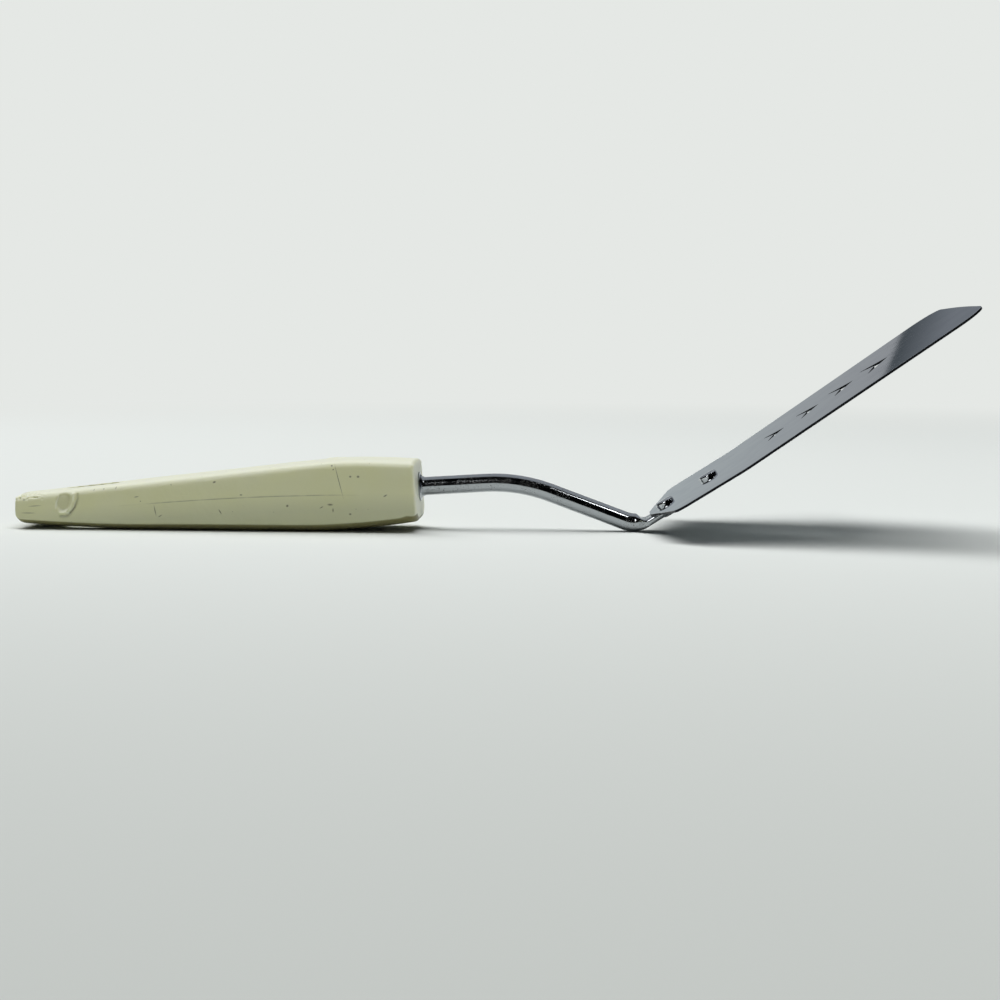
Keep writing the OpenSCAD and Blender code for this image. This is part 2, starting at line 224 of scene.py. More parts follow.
# Shares of the height between which a point lies midway, on the parting line.
MIDDLE_SHARES = (0.25, 0.75)
# How square the crown of the sides is: 2 is round.
SIDE_SQUARENESS = 3
# Points that lie closer than this are one.
MERGE = 0.001 * MM
# Faces that meet at less than this are one flat face.
FLAT = math.radians(0.05)
# Faces that meet at less than this are smooth.
SMOOTH = math.radians(35)
# Faces that meet at more than this make an edge of the sheet.
SHARP = math.radians(60)
# Shares of the floor's radius between which the camera sees it run into the backdrop.
CARD_FADE = (0.4, 0.95)
# The room that the metal reflects, as parts of a direction of length 1. Upwards: where the pale foot
# of the wall ends, where the wall starts to darken and where the ceiling lies. In shares of the wall's
# height: the soft edge of its top, and the end of the dark foot above. Backwards and sideways: where
# the dark front and the dark sides start.
WALL_FOOT = (0.02, 0.06)
WALL_START = 0.05
CEILING = (0.25, 0.5)
WALL_EDGE = 1.008
SHADE_END = 1.15
DARK_FRONT = (0.05, -0.1)
DARK_SIDES = (0.5, 0.7)
# The camera's sensor in millimetres, and the nearest and farthest that it sees, in metres.
SENSOR_WIDTH = 36
NEAREST = 0.01
FARTHEST = 100

# A new file's own cube, lamp and camera would count as pieces.
for startup_object in list(bpy.data.objects):
    bpy.data.objects.remove(startup_object)
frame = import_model()
HANDLE_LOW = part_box("handle")[0]
BLADE_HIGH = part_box("blade")[1]


def linear(code):
    """Turns an sRGB hex colour into the linear red, green, blue and alpha that Blender holds."""
    shares = [int(code[i : i + 2], 16) / 255 for i in (1, 3, 5)]
    return [c / 12.92 if c <= 0.04045 else ((c + 0.055) / 1.055) ** 2.4 for c in shares] + [1.0]


def length(name, description, millimetres):
    """A size property in metres, given in millimetres."""
    return bpy.props.FloatProperty(
        name=name, description=description, default=millimetres * MM, unit="LENGTH"
    )


def angle(name, description, degrees):
    """An angle property, given in degrees."""
    return bpy.props.FloatProperty(
        name=name, description=description, default=math.radians(degrees), subtype="ANGLE", unit="ROTATION"
    )


def position(name, description, metres):
    """A property for a place, given in metres."""
    return bpy.props.FloatVectorProperty(
        name=name, description=description, default=metres, subtype="TRANSLATION", unit="LENGTH"
    )


def power(name, description, watts):
    """A property for the power of a lamp, given in watts."""
    return bpy.props.FloatProperty(name=name, description=description, default=watts, min=0, unit="POWER")


def colour(name, description, code):
    """A colour property, given as an sRGB hex code."""
    return bpy.props.FloatVectorProperty(
        name=name, description=description, default=linear(code), size=4, subtype="COLOR", min=0, max=1
    )


class TurnerHandle(bpy.types.PropertyGroup):
    """Sizes and colours of the moulded handle."""

    length: length("Length", "Length of the handle", 131)
    width: length("Width", "Width over most of the handle", 25)
    tail_width: length("Tail width", "Width at the tail", 21)
    tail_top: length("Tail top", "Height of the upper edge at the tail", 10.6)
    front_top: length("Front top", "Height of the upper edge at the shank", 22.6)
    brow_fall: length("Brow fall", "Height lost between the brow and the shank", 0.8)
    brow_back: length("Brow back", "Distance from the shank back to the brow", 23)
    top_crown: length("Top crown", "Height of the crown across the top", 0.5)
    under_crown: length("Underside crown", "Height of the crown across the underside", 2.2)
    rest_width: length("Rest width", "Width of the flat strip that the handle rests on", 12)
    tail_lift: length("Tail lift", "Rise of the underside towards the tail", 1.8)
    tail_run: length("Tail run", "Length over which the tail rises", 45)
    chin_lift: length("Chin lift", "Rise of the underside towards the shank", 3.5)
    chin_run: length("Chin run", "Length over which the chin rises", 40)
    side_crown: length("Side crown", "How far the sides draw in at their edges", 0.6)
    top_edge: length("Upper edge radius", "Radius along the upper edges", 1.9)
    under_edge: length("Lower edge radius", "Radius along the lower edges", 0.6)
    tail_corner: length("Tail corner radius", "Radius of the tail's corners, seen from above", 1.8)
    tail_end: length("Tail end radius", "Radius over the tail's end face", 0.9)
    tail_chin: length("Tail chin radius", "Radius under the tail's end face", 2.3)
    front_end: length("Front end radius", "Radius round the end face at the shank", 1.3)
    draft: angle("Draft", "Draft of the moulded sides away from the parting line", 1.5)
    slot_length: length("Slot length", "Length of the hang slot", 18.5)
    slot_width: length("Slot width", "Width of the hang slot", 6)
    slot_back: length("Slot back", "Distance from the tail's end to the hang slot", 14.5)
    mould_gap: length("Mould gap", "Gap between the rod and the plastic round it", 0.05)
    grain: length("Mesh size", "Size of the faces that the moulding is made of", 0.45)
    ivory: colour("Ivory", "Colour of the aged plastic", "#E0E0B8")
    ivory_warm: colour("Warm ivory", "Colour where the plastic has yellowed", "#DEDEAE")
    # Painted light: the paler colour of faces that look up or forwards, for the light that falls on them.
    ivory_painted_light: colour("Pale ivory", "Colour where light has bleached the upper faces", "#F2F4DE")
    # Painted shade: the greyer colour of the lower half, for the weaker light that reaches it.
    ivory_painted_shade: colour("Grey ivory", "Colour of the duller lower half", "#C6C8A6")
    # Painted shade: the dark olive of the underside's crown, for the shade under the handle.
    painted_under_shade: colour("Olive", "Colour of the dirt under the handle", "#6E6838")
    # The colour of dirt, which in the melted marks is partly painted shade.
    grime_and_shade: colour("Grime", "Colour of the dirt in nicks and along the parting line", "#4E4D38")


class TurnerShank(bpy.types.PropertyGroup):
    """Sizes and colours of the chromed shank."""

    diameter: length("Diameter", "Diameter of the round rod", 5.9)
    seat: length("Seat height", "Height of the rod's axis at the handle's end face", 14.1)
    rise: angle("Rise", "Slope of the rod where it leaves the handle", 3.5)
    socket: length("Socket", "Length of rod inside the handle", 62)
    ear_width: length("Ear width", "Width over the ears coined in the rod inside the handle", 9.6)
    ear_length: length("Ear length", "Length of the coined ears", 7)
    ear_back: length("Ear back", "Distance from the rod's inner end to the ears", 6)
    lead: length("Lead", "Straight length between the handle and the crest", 21.5)
    crest: length("Crest radius", "Radius of the crest on the rod's axis", 52)
    fall: angle("Fall", "Slope of the rod below the crest", 20.2)
    heel: length("Heel radius", "Radius of the heel on the rod's axis", 9)
    collar: length("Collar diameter", "Diameter of the collar against the handle", 9.5)
    collar_length: length("Collar length", "Length of the collar with its flare", 2.3)
    collar_rim: length("Collar rim", "Thickness of the collar's rim", 0.45)
    heel_run: length("Heel run", "Length from the heel's lowest point to the tang", 4.6)
    heel_lift: length("Heel lift", "Rise of the axis over that length", 0.55)
    tang_width: length("Tang width", "Width of the flattened tang", 11.5)
    tang_thickness: length("Tang thickness", "Thickness of the flattened tang", 2.3)
    tang_length: length("Tang length", "Length of the tang", 28.5)
    tang_pitch: angle("Tang pitch", "Pitch of the tang", 32.3)
    tang_corner: length("Tang corner radius", "Radius of the corners at the tang's end", 4)
    tang_edge: length("Tang edge radius", "Radius along the tang's edges", 0.8)
    chrome: colour("Chrome", "Colour that the chrome plate reflects", "#A6AAAD")
    tarnish: colour("Tarnish", "Colour of the pits in the plate", "#6B6A66")


class TurnerBlade(bpy.types.PropertyGroup):
    """Sizes and colours of the blade and its rivets."""

    pitch: angle("Pitch", "Pitch of the blade past the tang", 35.1)
    sheet: length("Sheet", "Thickness of the steel sheet", 0.8)
    edge: length("Edge radius", "Radius that tumbling leaves on the sheet's edges", 0.12)
    slot_break: length("Slot break", "Chamfer where the punch came out of the sheet", 0.25)
    tip_run: length("Tip run", "Length of the blade past its slots, seen from above", 15)
    root_gap: length("Root gap", "Distance from the start of the tang to the blade's root", 1.7)
    rivet_first: length("First rivet", "Distance from the blade's root to the first rivet", 5.8)
    rivet_pitch: length("Rivet pitch", "Distance between the rivets", 16.2)
    rivet_diameter: length("Rivet diameter", "Diameter of the rivets' shanks", 3.4)
    rivet_gap: length("Rivet gap", "Gap round a rivet in its holes", 0.05)
    head_diameter: length("Head diameter", "Diameter of the domed heads", 6.2)
    head_height: length("Head height", "Height of the domed heads", 1.4)
    tail_diameter: length("Tail diameter", "Diameter of the clinched tails", 5.2)
    tail_height: length("Tail height", "Height of the clinched tails", 0.7)
    steel: colour("Steel", "Colour that the blade reflects", "#CBD0D4")
    worn: colour("Worn steel", "Colour where the plate is worn and stained", "#BCC1C8")
    # Painted shade: the near black of the sheet's edges, for the dark room that they reflect.
    painted_dark_edge: colour("Sheared edge", "Colour of the sheet's dark edges", "#2A2B2E")
    bright: colour("Bright steel", "Colour that the polished rivets reflect", "#C4C7CA")
    dented: colour("Rivet dents", "Colour in the dents of the rivets", "#A9ADB0")


class TurnerStage(bpy.types.PropertyGroup):
    """Sizes and colours of the floor, the lights and the camera."""

    floor: colour("Floor", "Colour of the floor", "#E6EAE7")
    # Painted shade: the floor is painted greyer towards the viewer, for the light that falls off there.
    floor_front_shade: colour("Front floor", "Colour of the floor towards the viewer", "#C9CDC9")
    floor_fade: length("Floor fade", "Distance in front of the part at which the floor is darkest", 400)
    backdrop: colour("Backdrop", "Colour behind the floor", "#E5E8E5")
    fill: colour("Fill", "Soft light from all round", "#4C4E50")
    room: colour("Room", "Dark room that the metal reflects in front", "#040505")
    wall_low: colour("Low wall", "Wall that the metal reflects behind, near the floor", "#B0B8BA")
    wall_high: colour("High wall", "That wall, higher up", "#96999D")
    shade_low: colour("Low shade", "The darker wall above, at its foot", "#40474C")
    shade_high: colour("High shade", "The darker wall above, higher up", "#767B82")
    ceiling: colour("Ceiling", "What the metal reflects higher still", "#B8BCC2")
    wall_top: bpy.props.FloatProperty(
        name="Wall height",
        description="Sine of the slope at which the wall behind turns darker",
        default=0.1585,
    )
    key_place: position("Softbox place", "Where the long soft lamp hangs", (-0.4, 0.3, 2.4))
    key_width: length("Softbox width", "Width of the long soft lamp, along the part", 1000)
    key_length: length("Softbox length", "Length of the long soft lamp, across the part", 4800)
    key_watts: power("Softbox power", "Power of the long soft lamp", 84)
    bulb_place: position("Bulb place", "Where the small lamp hangs", (0.52, -0.47, 1.1))
    bulb_size: length("Bulb size", "Size of the small lamp", 130)
    bulb_watts: power("Bulb power", "Power of the small lamp", 0.6)
    sheen_place: position("Sheen place", "Where the lamp for the sheet's sheen hangs", (-0.35, -0.75, 0.52))
    sheen_size: length("Sheen size", "Size of the lamp for the sheet's sheen", 380)
    sheen_watts: power("Sheen power", "Power of the lamp for the sheet's sheen", 2)
    reach: length("Floor reach", "Radius of the floor", 1200)
    camera_x: length("Camera place", "Place of the camera along the part", 39.4)
    camera_back: length("Camera back", "Distance from the camera to the part's middle plane", 540.4)
    camera_height: length("Camera height", "Height of the camera", 62)
    camera_pitch: angle("Camera pitch", "How far the camera looks down", 5.5)
    camera_yaw: angle("Camera yaw", "How far the camera turns towards the handle", 3.573)
    camera_roll: angle("Camera roll", "How far the camera is tilted", 0.127)
    lens: bpy.props.FloatProperty(
        name="Lens", description="Focal length for a sensor 36 mm wide", default=60.42, unit="CAMERA"
    )


def heading(slope):
    """Direction in the side view at a slope."""
    return Vector((math.cos(slope), 0, math.sin(slope)))


def normal(slope):
    """Direction square to that slope, upwards."""
    return Vector((-math.sin(slope), 0, math.cos(slope)))


def mix(a, b, q):
    """The value a share q of the way from a to b."""
    return a + (b - a) * q


def ease(q):
    """Runs from 0 to 1 with level ends."""
    q = np.clip(q, 0, 1)
    return q * q * (3 - 2 * q)


def open_primitive(name):
    """Names the primitive just added, fixes its place in its mesh and opens it in edit mode."""
    piece = bpy.context.active_object
    piece.name = name
    piece.data.name = name
    bpy.ops.object.transform_apply(location=True, rotation=True, scale=True)
    bpy.ops.object.mode_set(mode="EDIT")
    return piece


def open_copy(source, name):
    """Copies an object's mesh into a new piece and opens that in edit mode, all selected."""
    piece = bpy.data.objects.new(name, source.data.copy())
    piece.data.name = name
    bpy.context.scene.collection.objects.link(piece)
    bpy.ops.object.select_all(action="DESELECT")
    piece.select_set(True)
    bpy.context.view_layer.objects.active = piece
    bpy.ops.object.mode_set(mode="EDIT")
    bpy.ops.mesh.select_all(action="SELECT")
    return piece


def close_piece():
    """Ends the modelling of a piece: merged, facing outwards and smooth up to an angle."""
    bpy.ops.mesh.select_all(action="SELECT")
    bpy.ops.mesh.remove_doubles(threshold=MERGE)
    bpy.ops.mesh.normals_make_consistent(inside=False)
    bpy.ops.object.mode_set(mode="OBJECT")
    bpy.ops.object.shade_smooth_by_angle(angle=SMOOTH)


def pick(piece, kind, test):
    """Selects only the verts, edges or faces that pass a test."""
    bpy.ops.mesh.select_mode(type={"verts": "VERT", "edges": "EDGE", "faces": "FACE"}[kind])
    bpy.ops.mesh.select_all(action="DESELECT")
    mesh = bmesh.from_edit_mesh(piece.data)
    for item in getattr(mesh, kind):
        item.select_set(bool(test(item)))
    mesh.select_flush_mode()
    bmesh.update_edit_mesh(piece.data)


def apply_modifier(piece, kind, **settings):
    """Adds a modifier with its settings and applies it."""
    modifier = piece.modifiers.new(kind.title(), kind)
    for key, value in settings.items():
        setattr(modifier, key, value)
    bpy.context.view_layer.objects.active = piece
    bpy.ops.object.modifier_apply(modifier=modifier.name)


def cut_with(piece, cutter):
    """Cuts a closed piece out of another and throws the cutter away."""
    apply_modifier(piece, "BOOLEAN", operation="DIFFERENCE", solver="EXACT", object=cutter)
    bpy.data.objects.remove(cutter)


def extrude_by(step):
    """Extrudes what is selected by a step."""
    bpy.ops.mesh.extrude_region_move(TRANSFORM_OT_translate={"value": tuple(step)})


def finish_piece(piece, material, slot, *nodes):
    """Gives a piece its material, and puts it on the body in place of its nodes. Its slot is not used."""
    piece.data.materials.clear()
    piece.data.materials.append(material)
    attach(piece, "root")
    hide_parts(*nodes)
    bpy.ops.object.select_all(action="DESELECT")


class RodPath:
    """The rod's axis in the side view: lead, crest, drop, heel and tang."""

    def __init__(self, s):
        radius = s.diameter / 2
        end_face = HANDLE_LOW.x + bpy.context.scene.turner_handle.length
        self.lead_start = Vector((end_face, 0, s.seat))
        self.inner_end = self.lead_start - s.socket * heading(s.rise)
        self.lead_end = self.lead_start + s.lead * heading(s.rise)
        self.crest_centre = self.lead_end - s.crest * normal(s.rise)
        self.crest_end = self.crest_centre + s.crest * normal(-s.fall)
        heel_start_z = radius + s.heel * (1 - math.cos(s.fall))
        drop = (self.crest_end.z - heel_start_z) / math.sin(s.fall)
        self.heel_start = self.crest_end + drop * heading(-s.fall)
        self.heel_centre = self.heel_start + s.heel * normal(-s.fall)
        self.heel_low = self.heel_centre - Vector((0, 0, s.heel))
        self.tang_start = self.heel_low + Vector((s.heel_run, 0, s.heel_lift))
        self.tang_top = self.tang_start + s.tang_thickness / 2 * normal(s.tang_pitch)


def section_point(share, half_width, half_thickness, radius):
    """Where a share of the way round a rectangle with round corners lies: across the rod and up."""
    quarter = int(share * 4) % 4
    along = share * 4 - int(share * 4)
    if quarter % 2:
        along = 1 - along
    side = half_thickness - radius
    arc = math.pi * radius / 2
    run = along * (side + arc + half_width - radius)
    if run <= side:
        across, up = half_width, run
    elif run <= side + arc:
        turn = (run - side) / radius
        across = half_width - radius + radius * math.cos(turn)
        up = side + radius * math.sin(turn)
    else:
        across, up = half_width - radius - (run - side - arc), half_thickness
    return across * (1 if quarter in (0, 3) else -1), up * (1 if quarter < 2 else -1)


def shape_ring(piece, centre, pitch, half_width, half_thickness, radius):
    """Moves the ring that is selected onto a section of the rod."""
    mesh = bmesh.from_edit_mesh(piece.data)
    place = mesh.verts.layers.int["place"]
    for vert in mesh.verts:
        if vert.select:
            across, up = section_point(vert[place] / RING_POINTS, half_width, half_thickness, radius)
            vert.co = centre + Vector((0, across, 0)) + up * normal(pitch)
    bmesh.update_edit_mesh(piece.data)


def add_ring(piece, centre, pitch, half_width, half_thickness=None, radius=None):
    """Extrudes the rod's end into its next ring, which is round where only one size is given."""
    extrude_by((0, 0, 0))
    thickness = half_width if half_thickness is None else half_thickness
    shape_ring(piece, centre, pitch, half_width, thickness, half_width if radius is None else radius)


def start_rod(path, s):
    """Opens the rod's inner end as a round face whose points are numbered round the rod."""
    bpy.ops.mesh.primitive_circle_add(
        vertices=RING_POINTS, radius=s.diameter / 2, fill_type="NGON", location=path.inner_end
    )
    piece = open_primitive("shank_rod")
    mesh = bmesh.from_edit_mesh(piece.data)
    place = mesh.verts.layers.int.new("place")
    for vert in mesh.verts:
        offset = vert.co - path.inner_end
        vert[place] = round(math.atan2(offset.y, offset.x) / math.tau * RING_POINTS) % RING_POINTS
    bmesh.update_edit_mesh(piece.data)
    pick(piece, "faces", lambda face: True)
    shape_ring(piece, path.inner_end, s.rise, s.diameter / 2, s.diameter / 2, s.diameter / 2)
    return piece


def coin_ears(piece, path, s):
    """Squeezes two flat ears out of the rod's sides, inside the handle."""
    start = path.inner_end + s.ear_back * heading(s.rise)
    end = start + s.ear_length * heading(s.rise)
    for side in (-1, 1):
        pick(
            piece, "faces",
            lambda face: start.x < face.calc_center_median().x < end.x
            and face.calc_center_median().y * side > EAR_FACING * s.diameter / 2,
        )
        extrude_by((0, side * (s.ear_width - s.diameter) / 2, 0))
        mesh = bmesh.from_edit_mesh(piece.data)
        for vert in mesh.verts:
            if vert.select:
                vert.co.y = side * s.ear_width / 2
        bmesh.update_edit_mesh(piece.data)


def flatten_tang(piece, path, s):
    """Draws the rod's end out into the flat tang, whose end has round corners."""
    radius = s.diameter / 2
    # The axis bends up to the tang along a Bezier curve.
    pull = (path.tang_start - path.heel_low).length / 3
    first = path.heel_low + pull * heading(0)
    second = path.tang_start - pull * heading(s.tang_pitch)
    for step in range(1, FLATTEN_STEPS + 1):
        q = step / FLATTEN_STEPS
        share = float(ease(q))
        centre = (
            (1 - q) ** 3 * path.heel_low
            + 3 * (1 - q) ** 2 * q * first
            + 3 * (1 - q) * q**2 * second
            + q**3 * path.tang_start
        )
        add_ring(
            piece, centre, s.tang_pitch * share, mix(radius, s.tang_width / 2, share),
            mix(radius, s.tang_thickness / 2, share), mix(radius, s.tang_edge, share),
        )
    for step in range(TANG_END_STEPS + 1):
        turn = math.pi / 2 * step / TANG_END_STEPS
        run = s.tang_length - s.tang_corner * (1 - math.sin(turn))
        add_ring(
            piece, path.tang_start + run * heading(s.tang_pitch), s.tang_pitch,
            s.tang_width / 2 - s.tang_corner * (1 - math.cos(turn)), s.tang_thickness / 2, s.tang_edge,
        )


def model_shank(s):
    """Models the rod from its inner end over the collar, the crest and the heel to the tang's end."""
    path = RodPath(s)
    radius = s.diameter / 2
    piece = start_rod(path, s)
    for run in (s.ear_back, s.ear_back + s.ear_length, s.socket):
        add_ring(piece, path.inner_end + run * heading(s.rise), s.rise, radius)
    add_ring(piece, path.lead_start, s.rise, s.collar / 2)
    for step in range(FLARE_STEPS + 1):
        turn = math.pi / 2 * step / FLARE_STEPS
        run = s.collar_rim + (s.collar_length - s.collar_rim) * (1 - math.cos(turn))
        flare = (s.collar / 2 - radius) * (1 - math.sin(turn))
        add_ring(piece, path.lead_start + run * heading(s.rise), s.rise, radius + flare)
    add_ring(piece, path.lead_end, s.rise, radius)
    bpy.ops.mesh.spin(steps=CREST_STEPS, angle=-s.rise - s.fall, center=path.crest_centre, axis=(0, 1, 0))
    extrude_by(path.heel_start - path.crest_end)
    bpy.ops.mesh.spin(steps=HEEL_STEPS, angle=s.fall, center=path.heel_centre, axis=(0, 1, 0))
    flatten_tang(piece, path, s)
    coin_ears(piece, path, s)
    close_piece()
    return piece


def rivet_places(blade, shank):
    """Where the rivets go: on the tang's top, with +Z square to it."""
    root = RodPath(shank).tang_top + blade.root_gap * heading(shank.tang_pitch)
    turn = Matrix.Rotation(-shank.tang_pitch, 4, "Y")
    runs = {"rivet_rear": blade.rivet_first, "rivet_front": blade.rivet_first + blade.rivet_pitch}
    way = heading(shank.tang_pitch)
    return {name: Matrix.Translation(root + run * way) @ turn for name, run in runs.items()}


def turned(name, rings):
    """Models a round piece at the origin, ring by ring up its axis, from (radius, height) pairs."""
    radius, height = rings[0]
    bpy.ops.mesh.primitive_circle_add(
        vertices=TURNED_POINTS, radius=radius, fill_type="NGON", location=(0, 0, height)
    )
    piece = open_primitive(name)
    for next_radius, next_height in rings[1:]:
        extrude_by((0, 0, next_height - height))
        share = next_radius / radius
        bpy.ops.transform.resize(value=(share, share, 1), center_override=(0, 0, next_height))
        radius, height = next_radius, next_height
    return piece


def place_piece(piece, place):
    """Puts a closed piece that was modelled at the origin in its place, and keeps that in its mesh."""
    piece.matrix_world = place
    bpy.ops.object.select_all(action="DESELECT")
    piece.select_set(True)
    bpy.context.view_layer.objects.active = piece
    bpy.ops.object.transform_apply(location=True, rotation=True, scale=True)


def head_rings(radius, bottom, height):
    """Rings of a rivet's head from its rim to just short of its top: steep sides and a low crown."""
    turns = [math.pi / 2 * (1 - step / DOME_STEPS) for step in range(DOME_STEPS)] + [DOME_TIP]
    rounding = 2 / HEAD_SQUARENESS
    return [
        (radius * math.sin(turn) ** rounding, bottom + height * math.cos(turn) ** rounding)
        for turn in turns
    ]


def clinched_rings(s):
    """Rings of a clinched tail as radius and depth under the tang: flat below, round at its edge."""
    radius = s.tail_diameter / 2
    height = s.tail_height
    turns = [math.pi / 2 * step / DOME_STEPS for step in range(DOME_STEPS + 1)]
    return [(radius - height * (1 - math.sin(turn)) / 2, height * math.cos(turn)) for turn in turns]


def model_rivet(name, place, blade, shank):
    """Models one rivet: a clinched tail under the tang, the shank and the domed head."""
    radius = blade.rivet_diameter / 2
    head = blade.head_diameter / 2
    rim = blade.head_height * RIM_SHARE
    under = -shank.tang_thickness
    tail = clinched_rings(blade)
    rings = [(r, under - z) for r, z in tail]
    rings += [(radius, under), (radius, blade.sheet), (head, blade.sheet)]
    rings += head_rings(head, blade.sheet + rim, blade.head_height - rim)
    piece = turned(name, rings)
    close_piece()
    place_piece(piece, place)
    return piece


def drill_rivet_holes(piece, blade, shank):
    """Drills the two rivet holes through a piece."""
    radius = blade.rivet_diameter / 2 + blade.rivet_gap
    reach = shank.tang_thickness + blade.sheet
    for place in rivet_places(blade, shank).values():
        drill = turned("drill", [(radius, -2 * reach), (radius, 2 * reach)])
        close_piece()
        place_piece(drill, place)
        cut_with(piece, drill)


def grown(corners, by):
    """The corners of a polygon, in order anticlockwise, with its sides moved outwards."""
    moved = []
    for index, corner in enumerate(corners):
        before = (corner - corners[index - 1]).normalized()
        after = (corners[(index + 1) % len(corners)] - corner).normalized()
        out = Vector((before.y + after.y, -before.x - after.x))
        moved.append(corner + by * out / (1 + before.dot(after)))
    return moved


def slot_ring(index, grow):
    """Corners of a drain slot as run along the blade and place across it, grown by a length."""
    half = [
        (run + index * run_step, across + index * across_step)
        for run, across, run_step, across_step in SLOT_CORNERS
    ]
    ring = half + [(run, -across) for run, across in reversed(half[1:-1])]
    return grown([Vector(corner) * MM for corner in ring], grow)


def shape_slot_ring(cutter, s, ring, height):
    """Moves the ring that is selected onto a slot's outline, at a height square to the sheet."""
    mesh = bmesh.from_edit_mesh(cutter.data)
    corner = mesh.verts.layers.int["corner"]
    for vert in mesh.verts:
        if vert.select:
            run, across = ring[vert[corner]]
            vert.co = run * heading(s.pitch) + height * normal(s.pitch)
            vert.co.y = across
    bmesh.update_edit_mesh(cutter.data)


def relieve_slot(piece, s, index, bottom):
    """Breaks the lower edges of a drain slot, where the punch came out of the sheet."""
    corners = 2 * len(SLOT_CORNERS) - 2
    bpy.ops.mesh.primitive_circle_add(vertices=corners, radius=s.sheet, fill_type="NGON")
    cutter = open_primitive("cutter")
    mesh = bmesh.from_edit_mesh(cutter.data)
    corner = mesh.verts.layers.int.new("corner")
    for number, vert in enumerate(mesh.verts):
        vert[corner] = number
    bmesh.update_edit_mesh(cutter.data)
    shape_slot_ring(cutter, s, slot_ring(index, 2 * s.slot_break), bottom - s.slot_break)
    extrude_by((0, 0, 0))
    shape_slot_ring(cutter, s, slot_ring(index, 0), bottom + s.slot_break)
    close_piece()
    cut_with(piece, cutter)


def round_outline(piece, s):
    """Rounds the edges of the sheet's outline, and leaves those of its holes."""
    bpy.ops.object.mode_set(mode="EDIT")
    tip = BLADE_HIGH.x - s.tip_run
    pick(
        piece, "edges",
        lambda edge: edge.calc_face_angle(0) > SHARP
        and any(abs(vert.co.y) > SLOT_REACH * BLADE_HIGH.y or vert.co.x > tip for vert in edge.verts),
    )
    bpy.ops.mesh.bevel(offset=s.edge, offset_type="OFFSET", segments=3, affect="EDGES")
    close_piece()


def model_blade(s):
    """Takes the sheet from the frame, breaks the edges of its slots and rounds those of its outline."""
    piece = open_copy(frame["nodes"]["blade"], "blade_sheet")
    bpy.ops.mesh.remove_doubles(threshold=MERGE)
    bpy.ops.mesh.dissolve_limited(angle_limit=FLAT)
    close_piece()
    bottom = min(vertex.co.dot(normal(s.pitch)) for vertex in piece.data.vertices)
    for index in range(SLOTS):
        relieve_slot(piece, s, index, bottom)
    round_outline(piece, s)
    apply_modifier(piece, "WEIGHTED_NORMAL", keep_sharp=True)
    return piece


def round_in(run, radius):
    """How far a face has drawn in at a distance from a rounded end."""
    left = np.clip(radius - run, 0, radius)
    return radius - np.sqrt(radius**2 - left**2)


class HandleShape:
    """The handle's outline at distances from its tail: single ones, or arrays of them."""

    def __init__(self, s, shank):
        self.s = s
        self.shank = shank
        self.tail = HANDLE_LOW.x

    def end_in(self, run, tail_radius):
        """How far the upper or the lower face has drawn in at the handle's two ends."""
        return round_in(run, tail_radius) + round_in(self.s.length - run, self.s.front_end)

    def half_width(self, run):
        """Half the width at the parting line."""
        s = self.s
        full = mix(s.tail_width, s.width, ease(run / (s.length * WIDEN_SHARE)))
        return full / 2 - round_in(run, s.tail_corner) - round_in(s.length - run, s.front_end)

    def upper(self, run):
        """Height of the upper edges, which climb to the brow and fall a little to the shank."""
        s = self.s
        brow = s.front_top + s.brow_fall
        brow_run = s.length - s.brow_back
        climb = mix(s.tail_top, brow, run / brow_run)
        fall = mix(brow, s.front_top, (run - brow_run) / s.brow_back)
        lower = (climb + fall - np.sqrt((climb - fall) ** 2 + BROW_BLEND**2)) / 2
        return lower - self.end_in(run, s.tail_end)

    def under(self, run):
        """Height of the underside along its middle."""
        s = self.s
        tail = s.tail_lift * np.clip(1 - run / s.tail_run, 0, 1) ** 2
        chin = s.chin_lift * np.clip(1 - (s.length - run) / s.chin_run, 0, 1) ** 2
        return tail + chin + self.end_in(run, s.tail_chin)

    def crown(self, run):
        """How much higher the lower edges are than the middle of the underside."""
        return self.s.under_crown * (2 * self.half_width(run) / self.s.width) ** 2

    def parting(self, run):
        """Height of the parting line of the mould."""
        q = run / self.s.length
        tail, middle, front = PARTING_SHARES
        share = (1 - q) ** 2 * tail + 2 * q * (1 - q) * middle + q**2 * front
        return mix(self.under(run), self.upper(run), share)

    def lean(self, run):
        """How far the front leans, per height, to stand square to the rod."""
        back = (self.s.length - run) / (self.s.length * LEAN_SHARE)
        return ease(1 - back) * math.tan(self.shank.rise)

    def runs(self):
        """Distances from the tail, close together where the ends are round."""
        s = self.s
        arcs = [1 - math.cos(math.pi / 2 * step / END_STEPS) for step in range(END_STEPS)]
        first, last = max(s.tail_corner, s.tail_chin), s.length - s.front_end
        tail = [s.tail_end * arc for arc in arcs]
        tail += [first * arc for arc in arcs if first * arc > s.tail_end]
        middle = [mix(first, last, step / HANDLE_STEPS) for step in range(HANDLE_STEPS + 1)]
        return tail + middle + [s.length - s.front_end * arc for arc in reversed(arcs)]


def is_along(edge, axis):
    """Whether an edge runs along an axis of the frame: 0 is X, 1 is Y and 2 is Z."""
    way = edge.verts[1].co - edge.verts[0].co
    return abs(way[axis]) > ALONG * way.length


def is_middle(vert, shape):
    """Whether a vertex lies between the upper and the lower edges."""
    run = vert.co.x - shape.tail
    low = shape.under(run) + shape.crown(run)
    share = (vert.co.z - low) / (shape.upper(run) - low)
    return MIDDLE_SHARES[0] < share < MIDDLE_SHARES[1]


def is_long_edge(edge, shape, upper):
    """Whether an edge is one of the handle's two upper or two lower long edges."""
    middle = (edge.verts[0].co + edge.verts[1].co) / 2
    run = middle.x - shape.tail
    outside = abs(middle.y) > 0.5 * shape.half_width(run)
    above = middle.z > mix(shape.parting(run), shape.upper(run), 0.5)
    below = middle.z < mix(shape.under(run) + shape.crown(run), shape.parting(run), 0.5)
    return is_along(edge, 0) and outside and (above if upper else below)


